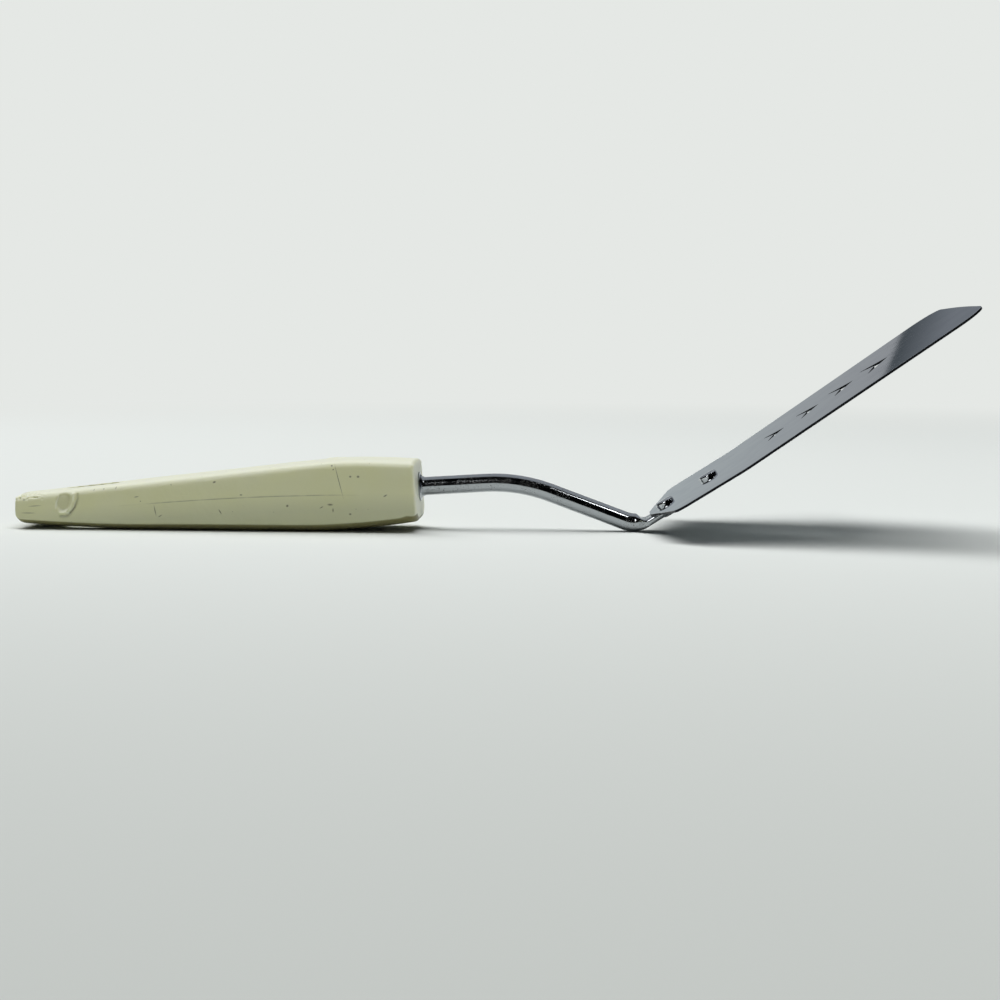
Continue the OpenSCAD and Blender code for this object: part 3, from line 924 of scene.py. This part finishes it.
def block_handle(shape):
    """Draws a box out along the handle, station by station, with its parting line and its draft."""
    s = shape.s
    runs = shape.runs()

    def box_at(run):
        """Width, height and height of the middle at a distance from the tail."""
        low = shape.under(run) + shape.crown(run)
        return 2 * shape.half_width(run), shape.upper(run) - low, (shape.upper(run) + low) / 2

    width, height, centre = box_at(runs[0])
    bpy.ops.mesh.primitive_plane_add(
        size=1, location=(shape.tail, 0, centre), rotation=(0, math.pi / 2, 0)
    )
    piece = open_primitive("handle_moulding")
    bpy.ops.transform.resize(value=(1, width, height), center_override=(shape.tail, 0, centre))
    for before, run in zip(runs, runs[1:]):
        next_width, next_height, next_centre = box_at(run)
        extrude_by((run - before, 0, next_centre - centre))
        bpy.ops.transform.resize(
            value=(1, next_width / width, next_height / height),
            center_override=(shape.tail + run, 0, next_centre),
        )
        width, height, centre = next_width, next_height, next_centre
    pick(piece, "edges", lambda edge: is_along(edge, 2))
    bpy.ops.mesh.subdivide(number_cuts=1)
    mesh = bmesh.from_edit_mesh(piece.data)
    for vert in mesh.verts:
        run = vert.co.x - shape.tail
        parting = shape.parting(run)
        if vert.select and is_middle(vert, shape):
            vert.co.z = parting
        else:
            draft = abs(vert.co.z - parting) * math.tan(s.draft)
            vert.co.y -= math.copysign(draft, vert.co.y)
    bmesh.update_edit_mesh(piece.data)
    for upper, radius in ((True, s.top_edge), (False, s.under_edge)):
        pick(piece, "edges", lambda edge: is_long_edge(edge, shape, upper))
        bpy.ops.mesh.bevel(offset=radius, offset_type="OFFSET", segments=EDGE_STEPS, affect="EDGES")
    close_piece()
    return piece


def cut_hang_slot(piece, shape):
    """Cuts the slot for a hook through the handle's tail."""
    s = shape.s
    middle = shape.tail + s.slot_back + s.slot_length / 2
    bpy.ops.mesh.primitive_cylinder_add(
        vertices=TURNED_POINTS, radius=s.slot_width / 2, depth=3 * s.front_top, location=(middle, 0, 0)
    )
    cutter = open_primitive("cutter")
    for side in (-1, 1):
        pick(cutter, "verts", lambda vert: (vert.co.x - middle) * side > 0)
        bpy.ops.transform.translate(value=(side * (s.slot_length - s.slot_width) / 2, 0, 0))
    close_piece()
    cut_with(piece, cutter)


def cut_socket(piece, shape, rod):
    """Cuts the place of the rod out of the plastic that was moulded round it."""
    path = RodPath(shape.shank)
    cutter = open_copy(rod, "cutter")
    way = heading(shape.shank.rise)
    end = path.lead_start - shape.s.front_end * way
    bpy.ops.mesh.bisect(plane_co=end, plane_no=way, use_fill=True, clear_outer=True)
    extrude_by(2 * shape.s.front_end * way)
    bpy.ops.mesh.select_all(action="SELECT")
    bpy.ops.mesh.normals_make_consistent(inside=False)
    bpy.ops.transform.shrink_fatten(value=shape.s.mould_gap)
    close_piece()
    cut_with(piece, cutter)


def get_points(piece, kind="co"):
    """The places or the normals of a piece's vertices, one row each."""
    points = np.empty(len(piece.data.vertices) * 3)
    piece.data.vertices.foreach_get(kind, points)
    return points.reshape(-1, 3)


def set_points(piece, points):
    """Moves a piece's vertices."""
    piece.data.vertices.foreach_set("co", points.ravel())
    piece.data.update()


def set_attribute(piece, name, values):
    """Stores one number per vertex, for the materials to read."""
    layer = piece.data.attributes.new(name, "FLOAT", "POINT")
    layer.data.foreach_set("value", values)


def crown_and_lean(points, shape):
    """Crowns the sides, the top and the underside, and leans the front square to the rod."""
    s = shape.s
    run = np.clip(points[:, 0] - shape.tail, 0, s.length)
    across = np.abs(points[:, 1])
    half = shape.half_width(run)
    low = shape.under(run) + shape.crown(run)
    share = (points[:, 2] - low) / (shape.upper(run) - low)
    rest = np.minimum(s.rest_width / 2, half / 2)
    q = np.clip((across - rest) / (half - s.under_edge - rest), 0, 1)
    top_q = np.clip(across / (half - s.top_edge), 0, 1)
    side_q = np.clip((points[:, 2] - shape.parting(run)) / (shape.upper(run) - shape.parting(run)), -1, 1)
    points[:, 1] *= 1 - s.side_crown / half * np.abs(side_q) ** SIDE_SQUARENESS
    points[:, 2] += s.top_crown * (1 - top_q**2) * ease((share - 1) / CROWN_SHARE + 1)
    points[:, 2] -= shape.crown(run) * (1 - q**2) * ease(1 - share / CROWN_SHARE)
    points[:, 0] -= shape.lean(run) * (points[:, 2] - shape.shank.seat)


def from_line(across, up, line):
    """Distance of each point from a line through some places, in the two directions given."""
    nearest = np.full(across.shape, np.inf)
    for (start_a, start_b), (end_a, end_b) in zip(line, line[1:]):
        way = np.array([end_a - start_a, end_b - start_b])
        q = np.clip(((across - start_a) * way[0] + (up - start_b) * way[1]) / way.dot(way), 0, 1)
        gap = np.hypot(across - start_a - q * way[0], up - start_b - q * way[1])
        nearest = np.minimum(nearest, gap)
    return nearest


def soft_spot(distance, radius):
    """Falls softly from 1 in the middle to nearly 0 at a radius."""
    return np.exp(-2 * (distance / radius) ** 2)


def press_marks(piece, shape):
    """Presses the melted spot, the curl on the top and the burr into the moulding.

    Lengths in here are in millimetres. Returns how dark each vertex is painted: dirt, and in the melted
    marks partly painted shade.
    """
    points = get_points(piece) / MM
    run, across, height = points[:, 0] - shape.tail / MM, points[:, 1], points[:, 2]
    inside = np.clip(run * MM, 0, shape.s.length)
    near = ease((-across / (shape.half_width(inside) / MM) - SIDE_START) / SIDE_RANGE)
    top = ease((height - shape.upper(inside) / MM + TOP_BELOW) / TOP_RANGE)
    from_spot = np.hypot(run - MELT_SPOT[0], height - MELT_SPOT[1])
    spot = ease((MELT_RADIUS - from_spot) / MELT_WALL)
    fading = ease((height - FADE_HEIGHT) / FADE_RANGE)
    # Painted shade: the darkening of the melted marks is partly dirt and partly shade in their hollows.
    depth, dirt = MELT_DEPTH * spot, MELT_DIRT_AND_SHADE * spot
    for line, spread, deep, dirt_and_shade, left in MELT_MARKS:
        mark = soft_spot(from_line(run, height, line), spread) * mix(1, left, fading)
        depth += deep * mark
        dirt += dirt_and_shade * mark
    points[:, 1] += near * depth
    curl = soft_spot(from_line(run, across, TOP_CURL), CURL_SPREAD)
    lip = soft_spot(from_line(run, across + LIP_BESIDE, TOP_CURL), CURL_SPREAD)
    points[:, 2] += top * (LIP_HEIGHT * lip - CURL_DEPTH * curl)
    burr = soft_spot(np.hypot(run - BURR[0], height - BURR[1]), BURR_RADIUS)
    points[:, 2] += near * BURR_HEIGHT * burr
    set_points(piece, points * MM)
    return np.clip(near * dirt + CURL_DIRT * top * curl, 0, 1)


def wear_handle(piece, shape):
    """Gives the moulding the faint waves of shrinkage, and chews its tail's upper edge."""
    points, normals = get_points(piece) / MM, get_points(piece, "normal")
    tail = shape.tail / MM
    chewed = shape.s.tail_top / MM - CHEW_BELOW
    for index, point in enumerate(points):
        run = point[0] - tail
        move = WAVE_DEPTH * noise.noise(Vector(point) / WAVE_LENGTH)
        if run < CHEW_RUN:
            share = float(mix(CHEW_REST, 1, ease((point[2] - chewed) / CHEW_BAND)))
            bite = max(0, noise.noise(Vector(point) / CHEW_LENGTH) - CHEW_LEAST)
            move -= CHEW_DEPTH * bite * (1 - run / CHEW_RUN) * share
        points[index] += normals[index] * move
    set_points(piece, points * MM)


def model_handle(s, shank, rod):
    """Models the handle: a drawn-out box with round edges, its slot, its socket and its marks."""
    shape = HandleShape(s, shank)
    piece = block_handle(shape)
    cut_hang_slot(piece, shape)
    cut_socket(piece, shape, rod)
    apply_modifier(piece, "REMESH", mode="VOXEL", voxel_size=s.grain)
    bpy.ops.object.mode_set(mode="EDIT")
    # The marks near the tail need finer faces.
    finest = shape.tail + (MELT_SPOT[0] + 2 * MELT_RADIUS) * MM
    near_side = -s.slot_width
    pick(
        piece, "faces",
        lambda face: face.calc_center_median().x < finest and face.calc_center_median().y < near_side,
    )
    bpy.ops.mesh.subdivide(number_cuts=1)
    bpy.ops.object.mode_set(mode="OBJECT")
    points = get_points(piece)
    run = np.clip(points[:, 0] - shape.tail, 0, s.length)
    set_attribute(piece, "seam", (points[:, 2] - shape.parting(run)) / MM)
    set_attribute(piece, "rim", (points[:, 2] - shape.under(run) - shape.crown(run)) / MM)
    crown_and_lean(points, shape)
    set_points(piece, points)
    apply_modifier(piece, "SMOOTH", factor=0.5, iterations=3)
    set_attribute(piece, "dirt", press_marks(piece, shape))
    wear_handle(piece, shape)
    bpy.ops.object.shade_smooth()
    return piece


def node(tree, kind, inputs=None, out=None, **settings):
    """Adds a node with its settings, fills its inputs with values or links, and returns an output."""
    made = tree.nodes.new("ShaderNode" + kind)
    for key, value in settings.items():
        setattr(made, key, value)
    sockets = [socket for socket in made.inputs if socket.enabled]
    for key, value in (inputs or {}).items():
        socket = sockets[key] if isinstance(key, int) else next(s for s in sockets if s.name == key)
        if isinstance(value, bpy.types.NodeSocket):
            tree.links.new(value, socket)
        else:
            socket.default_value = value
    return next((socket for socket in made.outputs if socket.enabled and out in (None, socket.name)), None)


def new_material(name):
    """An empty material with its tree and its Object coordinates."""
    material = bpy.data.materials.new(name)
    material.use_nodes = True
    material.node_tree.nodes.clear()
    return material, material.node_tree, node(material.node_tree, "TexCoord", out="Object")


def finish_material(tree, **inputs):
    """Ends a material with its shader, whose inputs are named with underscores for spaces."""
    shader = node(tree, "BsdfPrincipled", {name.replace("_", " "): value for name, value in inputs.items()})
    node(tree, "OutputMaterial", {"Surface": shader})


def patches(tree, place, size, low, high, stretch=(1, 1, 1), turn=0.0, detail=2.0):
    """Shares from 0 to 1 in soft patches about a size across, stretched along axes turned about Y."""
    place = node(tree, "Mapping", {"Vector": place, "Rotation": (0, turn, 0)}, vector_type="POINT")
    scales = [1 / (size * part) for part in stretch]
    place = node(tree, "VectorMath", {0: place, 1: scales}, operation="MULTIPLY")
    cloud = node(tree, "TexNoise", {"Vector": place, "Scale": 1.0, "Detail": detail})
    return node(
        tree, "MapRange", {"Value": cloud, "From Min": low, "From Max": high},
        interpolation_type="SMOOTHSTEP",
    )


def scuffs(tree, place):
    """1 inside the scuffs and specks of the near side, 0 outside."""
    total = 0.0
    for run, height, long, wide, turn in SCUFFS:
        local = node(
            tree, "Mapping",
            {
                "Vector": place,
                "Location": (HANDLE_LOW.x + run * MM, HANDLE_LOW.y, height * MM),
                "Rotation": (0, math.radians(-turn), 0),
                "Scale": (long / 2 * MM, SCUFF_REACH, wide / 2 * MM),
            },
            vector_type="TEXTURE",
        )
        reach = node(tree, "VectorMath", {0: local}, out="Value", operation="LENGTH")
        inside = node(tree, "MapRange", {"Value": reach, "From Min": SCUFF_START, "From Max": SCUFF_FULL})
        total = node(tree, "Math", {0: inside, 1: total}, operation="MAXIMUM")
    return total


def moulded_ivory(s):
    """Moulded polypropylene that has yellowed: satin and a little waxy, with dirt in its marks."""
    material, tree, place = new_material("moulded_ivory_polypropylene")
    seam = node(tree, "Attribute", out="Fac", attribute_name="seam")
    rim = node(tree, "Attribute", out="Fac", attribute_name="rim")
    pressed_dirt_and_shade = node(tree, "Attribute", out="Fac", attribute_name="dirt")
    # The plastic has yellowed in clouds, and below the parting line it is painted greyer and darker as
    # painted shade.
    clouds = patches(tree, place, size=22 * MM, low=0.35, high=0.7)
    body = node(tree, "Mix", {"Factor": clouds, "A": s.ivory, "B": s.ivory_warm}, data_type="RGBA")
    lower = node(tree, "MapRange", {"Value": seam, "From Min": 1.0, "From Max": -5.0, "To Max": 0.75})
    body = node(tree, "Mix", {"Factor": lower, "A": body, "B": s.ivory_painted_shade}, data_type="RGBA")
    # Painted light: faces that look up or forwards are painted paler, for the stronger light that falls on
    # them.
    facing = node(tree, "TexCoord", out="Normal")
    upwards = node(tree, "SeparateXYZ", {"Vector": facing}, out="Z")
    upwards = node(tree, "MapRange", {"Value": upwards, "From Min": 0.2, "From Max": 0.9})
    forwards = node(tree, "SeparateXYZ", {"Vector": facing}, out="X")
    forwards = node(tree, "MapRange", {"Value": forwards, "From Min": 0.3, "From Max": 0.9})
    pale = node(tree, "Math", {0: upwards, 1: forwards}, operation="MAXIMUM")
    body = node(tree, "Mix", {"Factor": pale, "A": body, "B": s.ivory_painted_light}, data_type="RGBA")
    # Painted shade: the underside's crown is painted dark olive, for the shade in the gap over the floor.
    under = node(
        tree, "MapRange", {"Value": rim, "From Min": 0.35, "From Max": 0.0, "To Max": 0.85},
        interpolation_type="SMOOTHSTEP",
    )
    body = node(tree, "Mix", {"Factor": under, "A": body, "B": s.painted_under_shade}, data_type="RGBA")
    # Dirt sits in the parting line where hands hold the turner, in patches.
    along = node(tree, "SeparateXYZ", {"Vector": place}, out="X")
    start, end = (HANDLE_LOW.x + run * MM for run in SEAM_RUN)
    fade_in = node(tree, "MapRange", {"Value": along, "From Min": start, "From Max": start + SEAM_FADE})
    fade_out = node(tree, "MapRange", {"Value": along, "From Min": end, "From Max": end - SEAM_FADE})
    line = node(tree, "Math", {0: seam}, operation="ABSOLUTE")
    line = node(tree, "MapRange", {"Value": line, "From Min": 0.25, "From Max": 0.05, "To Max": 0.6})
    line = node(tree, "Math", {0: line, 1: fade_in}, operation="MULTIPLY")
    line = node(tree, "Math", {0: line, 1: fade_out}, operation="MULTIPLY")
    gaps = patches(tree, place, size=6 * MM, low=0.2, high=0.6)
    line = node(tree, "Math", {0: line, 1: gaps}, operation="MULTIPLY")
    # It also sits in pores, in the scuffs and in the marks that are pressed into the mesh, where it is
    # partly painted shade.
    pores = patches(tree, place, size=1.2 * MM, low=0.74, high=0.82)
    dirt = node(tree, "Math", {0: line, 1: scuffs(tree, place)}, operation="MAXIMUM")
    dirt = node(tree, "Math", {0: dirt, 1: pores}, operation="MAXIMUM")
    dirt = node(tree, "Math", {0: dirt, 1: pressed_dirt_and_shade}, operation="MAXIMUM")
    shown = node(tree, "Math", {0: dirt, 1: DIRT_SHARE}, operation="MULTIPLY")
    body = node(tree, "Mix", {"Factor": shown, "A": body, "B": s.grime_and_shade}, data_type="RGBA")
    # Fine scratches run mostly along the handle over the faint peel that the mould left. Real ones are
    # finer: these are drawn wide enough to show.
    scratches = patches(tree, place, size=0.35 * MM, low=0.56, high=0.68, stretch=(24, 1, 1))
    peel = patches(tree, place, size=1.8 * MM, low=0.3, high=0.7, detail=3.0)
    rough = node(tree, "MapRange", {"Value": peel, "To Min": 0.36, "To Max": 0.46})
    rough = node(tree, "Math", {0: scratches, 1: SCUFFED_ROUGH, 2: rough}, operation="MULTIPLY_ADD")
    height = node(tree, "Math", {0: scratches, 1: -SCUFFED_DEPTH, 2: peel}, operation="MULTIPLY_ADD")
    height = node(tree, "Math", {0: dirt, 1: -DIRT_DEPTH, 2: height}, operation="MULTIPLY_ADD")
    relief = node(tree, "Bump", {"Height": height, "Strength": 0.4, "Distance": 0.05 * MM})
    finish_material(
        tree, Base_Color=body, Roughness=rough, Normal=relief, IOR=1.49, Subsurface_Weight=0.1,
        Subsurface_Radius=(1.0, 0.9, 0.5), Subsurface_Scale=2 * MM,
    )
    return material


def chrome_plate(s):
    """Chrome plate on drawn rod: a dark mirror with faint waves, and dull pits where it is worn."""
    material, tree, place = new_material("bright_chrome_plate")
    worn = patches(tree, place, size=8 * MM, low=0.35, high=0.55)
    # Real pits are finer: these are drawn wide enough to show.
    pits = patches(tree, place, size=0.3 * MM, low=0.58, high=0.66)
    pits = node(tree, "Math", {0: pits, 1: worn}, operation="MULTIPLY")
    body = node(tree, "Mix", {"Factor": pits, "A": s.chrome, "B": s.tarnish}, data_type="RGBA")
    rough = node(tree, "MapRange", {"Value": worn, "To Min": 0.05, "To Max": 0.1})
    rough = node(tree, "Math", {0: pits, 1: PIT_ROUGH, 2: rough}, operation="MULTIPLY_ADD")
    waves = patches(tree, place, size=2.5 * MM, low=0.3, high=0.7, stretch=(6, 1, 1))
    height = node(tree, "Math", {0: pits, 1: -PIT_DEPTH, 2: waves}, operation="MULTIPLY_ADD")
    relief = node(tree, "Bump", {"Height": height, "Strength": 0.25, "Distance": 0.05 * MM})
    finish_material(tree, Base_Color=body, Metallic=1.0, Roughness=rough, Normal=relief)
    return material


def satin_steel(s):
    """Plated sheet steel: a soft mirror with rolling lines, cloudy stains, and edges painted dark as
    painted shade.
    """
    material, tree, place = new_material("satin_plated_sheet_steel")
    clouds = patches(tree, place, size=9 * MM, low=0.35, high=0.7, turn=s.pitch, detail=4.0)
    # Real rolling lines and scratches are finer: these are drawn wide enough to show.
    lines = patches(
        tree, place, size=0.4 * MM, low=0.3, high=0.7, stretch=(40, 1, 1), turn=s.pitch, detail=3.0
    )
    scratches = patches(tree, place, size=0.5 * MM, low=0.64, high=0.7, stretch=(14, 1, 1), turn=s.pitch)
    body = node(tree, "Mix", {"Factor": clouds, "A": s.steel, "B": s.worn}, data_type="RGBA")
    # Painted shade: faces square to the sheet are painted nearly black, a painted reflection of the dark
    # room in front.
    facing = node(tree, "TexCoord", out="Normal")
    facing = node(tree, "VectorMath", {0: facing, 1: normal(s.pitch)}, out="Value", operation="DOT_PRODUCT")
    facing = node(tree, "Math", {0: facing}, operation="ABSOLUTE")
    painted_dark_edge = node(tree, "MapRange", {"Value": facing, "From Min": 0.65, "From Max": 0.5})
    body = node(tree, "Mix", {"Factor": painted_dark_edge, "A": body, "B": s.painted_dark_edge}, data_type="RGBA")
    rough = node(tree, "MapRange", {"Value": clouds, "To Min": 0.015, "To Max": 0.03})
    rough = node(tree, "Math", {0: scratches, 1: SCRATCHED_ROUGH, 2: rough}, operation="MULTIPLY_ADD")
    rough = node(tree, "Math", {0: painted_dark_edge, 1: SHEARED_ROUGH, 2: rough}, operation="MULTIPLY_ADD")
    # Fine rolling lines leave a mirror at a glancing angle and a satin sheen when seen squarely.
    satin = node(tree, "LayerWeight", {"Blend": 0.5}, out="Facing")
    satin = node(
        tree, "MapRange", {"Value": satin, "From Min": 0.8, "From Max": 0.5, "To Max": SATIN_ROUGH}
    )
    rough = node(tree, "Math", {0: rough, 1: satin})
    height = node(tree, "Math", {0: scratches, 1: -SCRATCHED_DEPTH, 2: lines}, operation="MULTIPLY_ADD")
    relief = node(tree, "Bump", {"Height": height, "Strength": 0.02, "Distance": 0.01 * MM})
    finish_material(tree, Base_Color=body, Metallic=1.0, Roughness=rough, Normal=relief)
    return material


def polished_rivet(s):
    """Polished rivet steel: a small mirror with the faint dents of its setting."""
    material, tree, place = new_material("polished_rivet_steel")
    dents = patches(tree, place, size=1.4 * MM, low=0.3, high=0.7)
    body = node(tree, "Mix", {"Factor": dents, "A": s.bright, "B": s.dented}, data_type="RGBA")
    rough = node(tree, "MapRange", {"Value": dents, "To Min": 0.06, "To Max": 0.12})
    relief = node(tree, "Bump", {"Height": dents, "Strength": 0.3, "Distance": 0.06 * MM})
    finish_material(tree, Base_Color=body, Metallic=1.0, Roughness=rough, Normal=relief)
    return material


def pale_card(s):
    """Matt pale card, painted a little greyer towards the viewer as painted shade where the light falls
    off.
    """
    material, tree, place = new_material("matt_pale_card")
    across = node(tree, "SeparateXYZ", {"Vector": place}, out="Y")
    front = node(tree, "MapRange", {"Value": across, "From Min": 0.0, "From Max": -s.floor_fade})
    tint = node(tree, "Mix", {"Factor": front, "A": s.floor, "B": s.floor_front_shade}, data_type="RGBA")
    card = node(tree, "BsdfPrincipled", {"Base Color": tint, "Roughness": 0.9, "Specular IOR Level": 0.0})
    # The camera sees the card run into the backdrop without an edge.
    away = node(tree, "VectorMath", {0: place}, out="Value", operation="LENGTH")
    start, end = (share * s.reach for share in CARD_FADE)
    away = node(
        tree, "MapRange", {"Value": away, "From Min": start, "From Max": end},
        interpolation_type="SMOOTHSTEP",
    )
    seen = node(tree, "LightPath", out="Is Camera Ray")
    away = node(tree, "Math", {0: away, 1: seen}, operation="MULTIPLY")
    backdrop = node(tree, "Emission", {"Color": s.backdrop})
    shown = node(tree, "MixShader", {0: away, 1: card, 2: backdrop})
    node(tree, "OutputMaterial", {"Surface": shown})
    return material


def lay_floor(s):
    """Lays the pale floor under the part."""
    bpy.ops.mesh.primitive_circle_add(vertices=RING_POINTS, radius=s.reach, fill_type="NGON")
    floor = bpy.context.active_object
    floor.name = "stage_floor"
    floor.data.materials.append(pale_card(s))


def fill_world(s):
    """Surrounds the part: pale card for the camera, a room for reflections, low light for the rest."""
    world = bpy.data.worlds.new("studio")
    world.use_nodes = True
    tree = world.node_tree
    tree.nodes.clear()
    way = node(tree, "TexCoord", out="Generated")
    up = node(tree, "SeparateXYZ", {"Vector": way}, out="Z")
    back = node(tree, "SeparateXYZ", {"Vector": way}, out="Y")
    aside = node(tree, "SeparateXYZ", {"Vector": way}, out="X")
    aside = node(tree, "Math", {0: aside}, operation="ABSOLUTE")
    # Behind the part stands a grey wall with a pale foot.
    share = node(tree, "MapRange", {"Value": up, "From Min": WALL_START, "From Max": s.wall_top})
    wall = node(tree, "Mix", {"Factor": share, "A": s.wall_low, "B": s.wall_high}, data_type="RGBA")
    share = node(tree, "MapRange", {"Value": up, "From Min": WALL_FOOT[0], "From Max": WALL_FOOT[1]})
    wall = node(tree, "Mix", {"Factor": share, "A": s.backdrop, "B": wall}, data_type="RGBA")
    # A darker wall stands above it, and over both is the ceiling.
    end = SHADE_END * s.wall_top
    share = node(tree, "MapRange", {"Value": up, "From Min": s.wall_top, "From Max": end})
    shade = node(tree, "Mix", {"Factor": share, "A": s.shade_low, "B": s.shade_high}, data_type="RGBA")
    share = node(tree, "MapRange", {"Value": up, "From Min": CEILING[0], "From Max": CEILING[1]})
    shade = node(tree, "Mix", {"Factor": share, "A": shade, "B": s.ceiling}, data_type="RGBA")
    end = WALL_EDGE * s.wall_top
    share = node(tree, "MapRange", {"Value": up, "From Min": s.wall_top, "From Max": end})
    behind = node(tree, "Mix", {"Factor": share, "A": wall, "B": shade}, data_type="RGBA")
    # In front and aside the room is dark.
    front = node(tree, "MapRange", {"Value": back, "From Min": DARK_FRONT[0], "From Max": DARK_FRONT[1]})
    aside = node(tree, "MapRange", {"Value": aside, "From Min": DARK_SIDES[0], "From Max": DARK_SIDES[1]})
    share = node(tree, "Math", {0: front, 1: aside}, operation="MAXIMUM")
    room = node(tree, "Mix", {"Factor": share, "A": behind, "B": s.room}, data_type="RGBA")
    # Metal sees the room, matt surfaces the soft fill, and the camera the pale backdrop.
    fill = node(tree, "Background", {"Color": s.fill})
    room = node(tree, "Background", {"Color": room})
    backdrop = node(tree, "Background", {"Color": s.backdrop})
    mirrored = node(tree, "LightPath", out="Is Glossy Ray")
    light = node(tree, "MixShader", {0: mirrored, 1: fill, 2: room})
    seen = node(tree, "LightPath", out="Is Camera Ray")
    clear = node(tree, "LightPath", out="Is Transmission Ray")
    pale = node(tree, "Math", {0: seen, 1: clear}, operation="MAXIMUM")
    light = node(tree, "MixShader", {0: pale, 1: light, 2: backdrop})
    node(tree, "OutputWorld", {"Surface": light})
    bpy.context.scene.world = world


def hang_lamp(name, place, size, watts, mirrored=True, lights_matt=True):
    """Hangs an area lamp that looks at the part, for gloss, for matt surfaces or for both."""
    lamp = bpy.data.lights.new(name, "AREA")
    lamp.shape = "RECTANGLE"
    lamp.size, lamp.size_y = size
    lamp.energy = watts
    holder = bpy.data.objects.new(name, lamp)
    holder.location = place
    holder.rotation_euler = Vector(place).to_track_quat("Z", "Y").to_euler()
    holder.visible_glossy = mirrored
    holder.visible_diffuse = lights_matt
    bpy.context.scene.collection.objects.link(holder)


def hang_lamps(s):
    """Hangs a long soft lamp over the part, a small bare one, and one that gives the sheet its sheen."""
    hang_lamp("overhead_softbox", s.key_place, (s.key_width, s.key_length), s.key_watts, mirrored=False)
    hang_lamp("bare_bulb", s.bulb_place, (s.bulb_size, s.bulb_size), s.bulb_watts)
    hang_lamp("side_sheen", s.sheen_place, (s.sheen_size, s.sheen_size), s.sheen_watts, lights_matt=False)


def place_camera(s):
    """Puts the camera where the photograph was taken from."""
    camera = bpy.data.cameras.new("camera")
    camera.sensor_width = SENSOR_WIDTH
    camera.lens = s.lens
    camera.clip_start = NEAREST
    camera.clip_end = FARTHEST
    holder = bpy.data.objects.new("camera", camera)
    bpy.context.scene.collection.objects.link(holder)
    turn = (
        Matrix.Rotation(s.camera_yaw, 4, "Z")
        @ Matrix.Rotation(math.pi / 2 - s.camera_pitch, 4, "X")
        @ Matrix.Rotation(s.camera_roll, 4, "Z")
    )
    holder.matrix_world = Matrix.Translation((s.camera_x, -s.camera_back, s.camera_height)) @ turn
    bpy.context.scene.camera = holder


class TURNER_OT_shank(bpy.types.Operator):
    """Models the bent chromed rod with its collar, its ears and its flattened tang"""

    bl_idname = "turner.shank"
    bl_label = "Model the Shank"
    bl_options = {"REGISTER", "UNDO"}

    def execute(self, context):
        scene = context.scene
        rod = model_shank(scene.turner_shank)
        drill_rivet_holes(rod, scene.turner_blade, scene.turner_shank)
        bpy.ops.object.shade_smooth_by_angle(angle=SMOOTH)
        finish_piece(rod, chrome_plate(scene.turner_shank), "shank_chrome", "shank")
        return {"FINISHED"}


class TURNER_OT_handle(bpy.types.Operator):
    """Models the moulded plastic handle round the rod"""

    bl_idname = "turner.handle"
    bl_label = "Model the Handle"
    bl_options = {"REGISTER", "UNDO"}

    def execute(self, context):
        scene = context.scene
        piece = model_handle(scene.turner_handle, scene.turner_shank, bpy.data.objects["shank_rod"])
        finish_piece(piece, moulded_ivory(scene.turner_handle), "handle_plastic", "handle")
        return {"FINISHED"}


class TURNER_OT_blade(bpy.types.Operator):
    """Models the slotted sheet-steel blade"""

    bl_idname = "turner.blade"
    bl_label = "Model the Blade"
    bl_options = {"REGISTER", "UNDO"}

    def execute(self, context):
        settings = context.scene.turner_blade
        finish_piece(model_blade(settings), satin_steel(settings), "blade_steel", "blade")
        return {"FINISHED"}


class TURNER_OT_rivets(bpy.types.Operator):
    """Models the two rivets that hold the blade on the tang"""

    bl_idname = "turner.rivets"
    bl_label = "Model the Rivets"
    bl_options = {"REGISTER", "UNDO"}

    def execute(self, context):
        scene = context.scene
        material = polished_rivet(scene.turner_blade)
        for name, place in rivet_places(scene.turner_blade, scene.turner_shank).items():
            rivet = model_rivet(name + "_set", place, scene.turner_blade, scene.turner_shank)
            finish_piece(rivet, material, "rivet_steel", name)
        return {"FINISHED"}


class TURNER_OT_stage(bpy.types.Operator):
    """Lays the floor, hangs the lamps and places the camera"""

    bl_idname = "turner.stage"
    bl_label = "Build the Stage"
    bl_options = {"REGISTER", "UNDO"}

    def execute(self, context):
        settings = context.scene.turner_stage
        lay_floor(settings)
        fill_world(settings)
        hang_lamps(settings)
        place_camera(settings)
        context.scene.view_settings.view_transform = "Standard"
        return {"FINISHED"}


OPERATORS = (TURNER_OT_stage, TURNER_OT_shank, TURNER_OT_handle, TURNER_OT_blade, TURNER_OT_rivets)
GROUPS = {
    "turner_handle": TurnerHandle,
    "turner_shank": TurnerShank,
    "turner_blade": TurnerBlade,
    "turner_stage": TurnerStage,
}


class TURNER_PT_parts(bpy.types.Panel):
    """Lists the turner's pieces and their sizes"""

    bl_idname = "TURNER_PT_parts"
    bl_label = "Slotted Turner"
    bl_space_type = "VIEW_3D"
    bl_region_type = "UI"
    bl_category = "Turner"

    def draw(self, context):
        for operator in OPERATORS:
            self.layout.operator(operator.bl_idname)
        for name, group in GROUPS.items():
            box = self.layout.box()
            settings = getattr(context.scene, name)
            for key in group.__annotations__:
                box.prop(settings, key)


def register():
    """Registers the settings, the operators and the panel."""
    for name, group in GROUPS.items():
        bpy.utils.register_class(group)
        setattr(bpy.types.Scene, name, bpy.props.PointerProperty(type=group))
    for kind in OPERATORS + (TURNER_PT_parts,):
        bpy.utils.register_class(kind)


def unregister():
    """Takes away what register added."""
    for kind in (TURNER_PT_parts,) + OPERATORS:
        bpy.utils.unregister_class(kind)
    for name, group in GROUPS.items():
        delattr(bpy.types.Scene, name)
        bpy.utils.unregister_class(group)


def main():
    """Builds the turner and its stage."""
    register()
    bpy.ops.object.select_all(action="DESELECT")
    bpy.ops.turner.stage()
    bpy.ops.turner.shank()
    bpy.ops.turner.handle()
    bpy.ops.turner.blade()
    bpy.ops.turner.rivets()


if __name__ == "__main__":
    main()
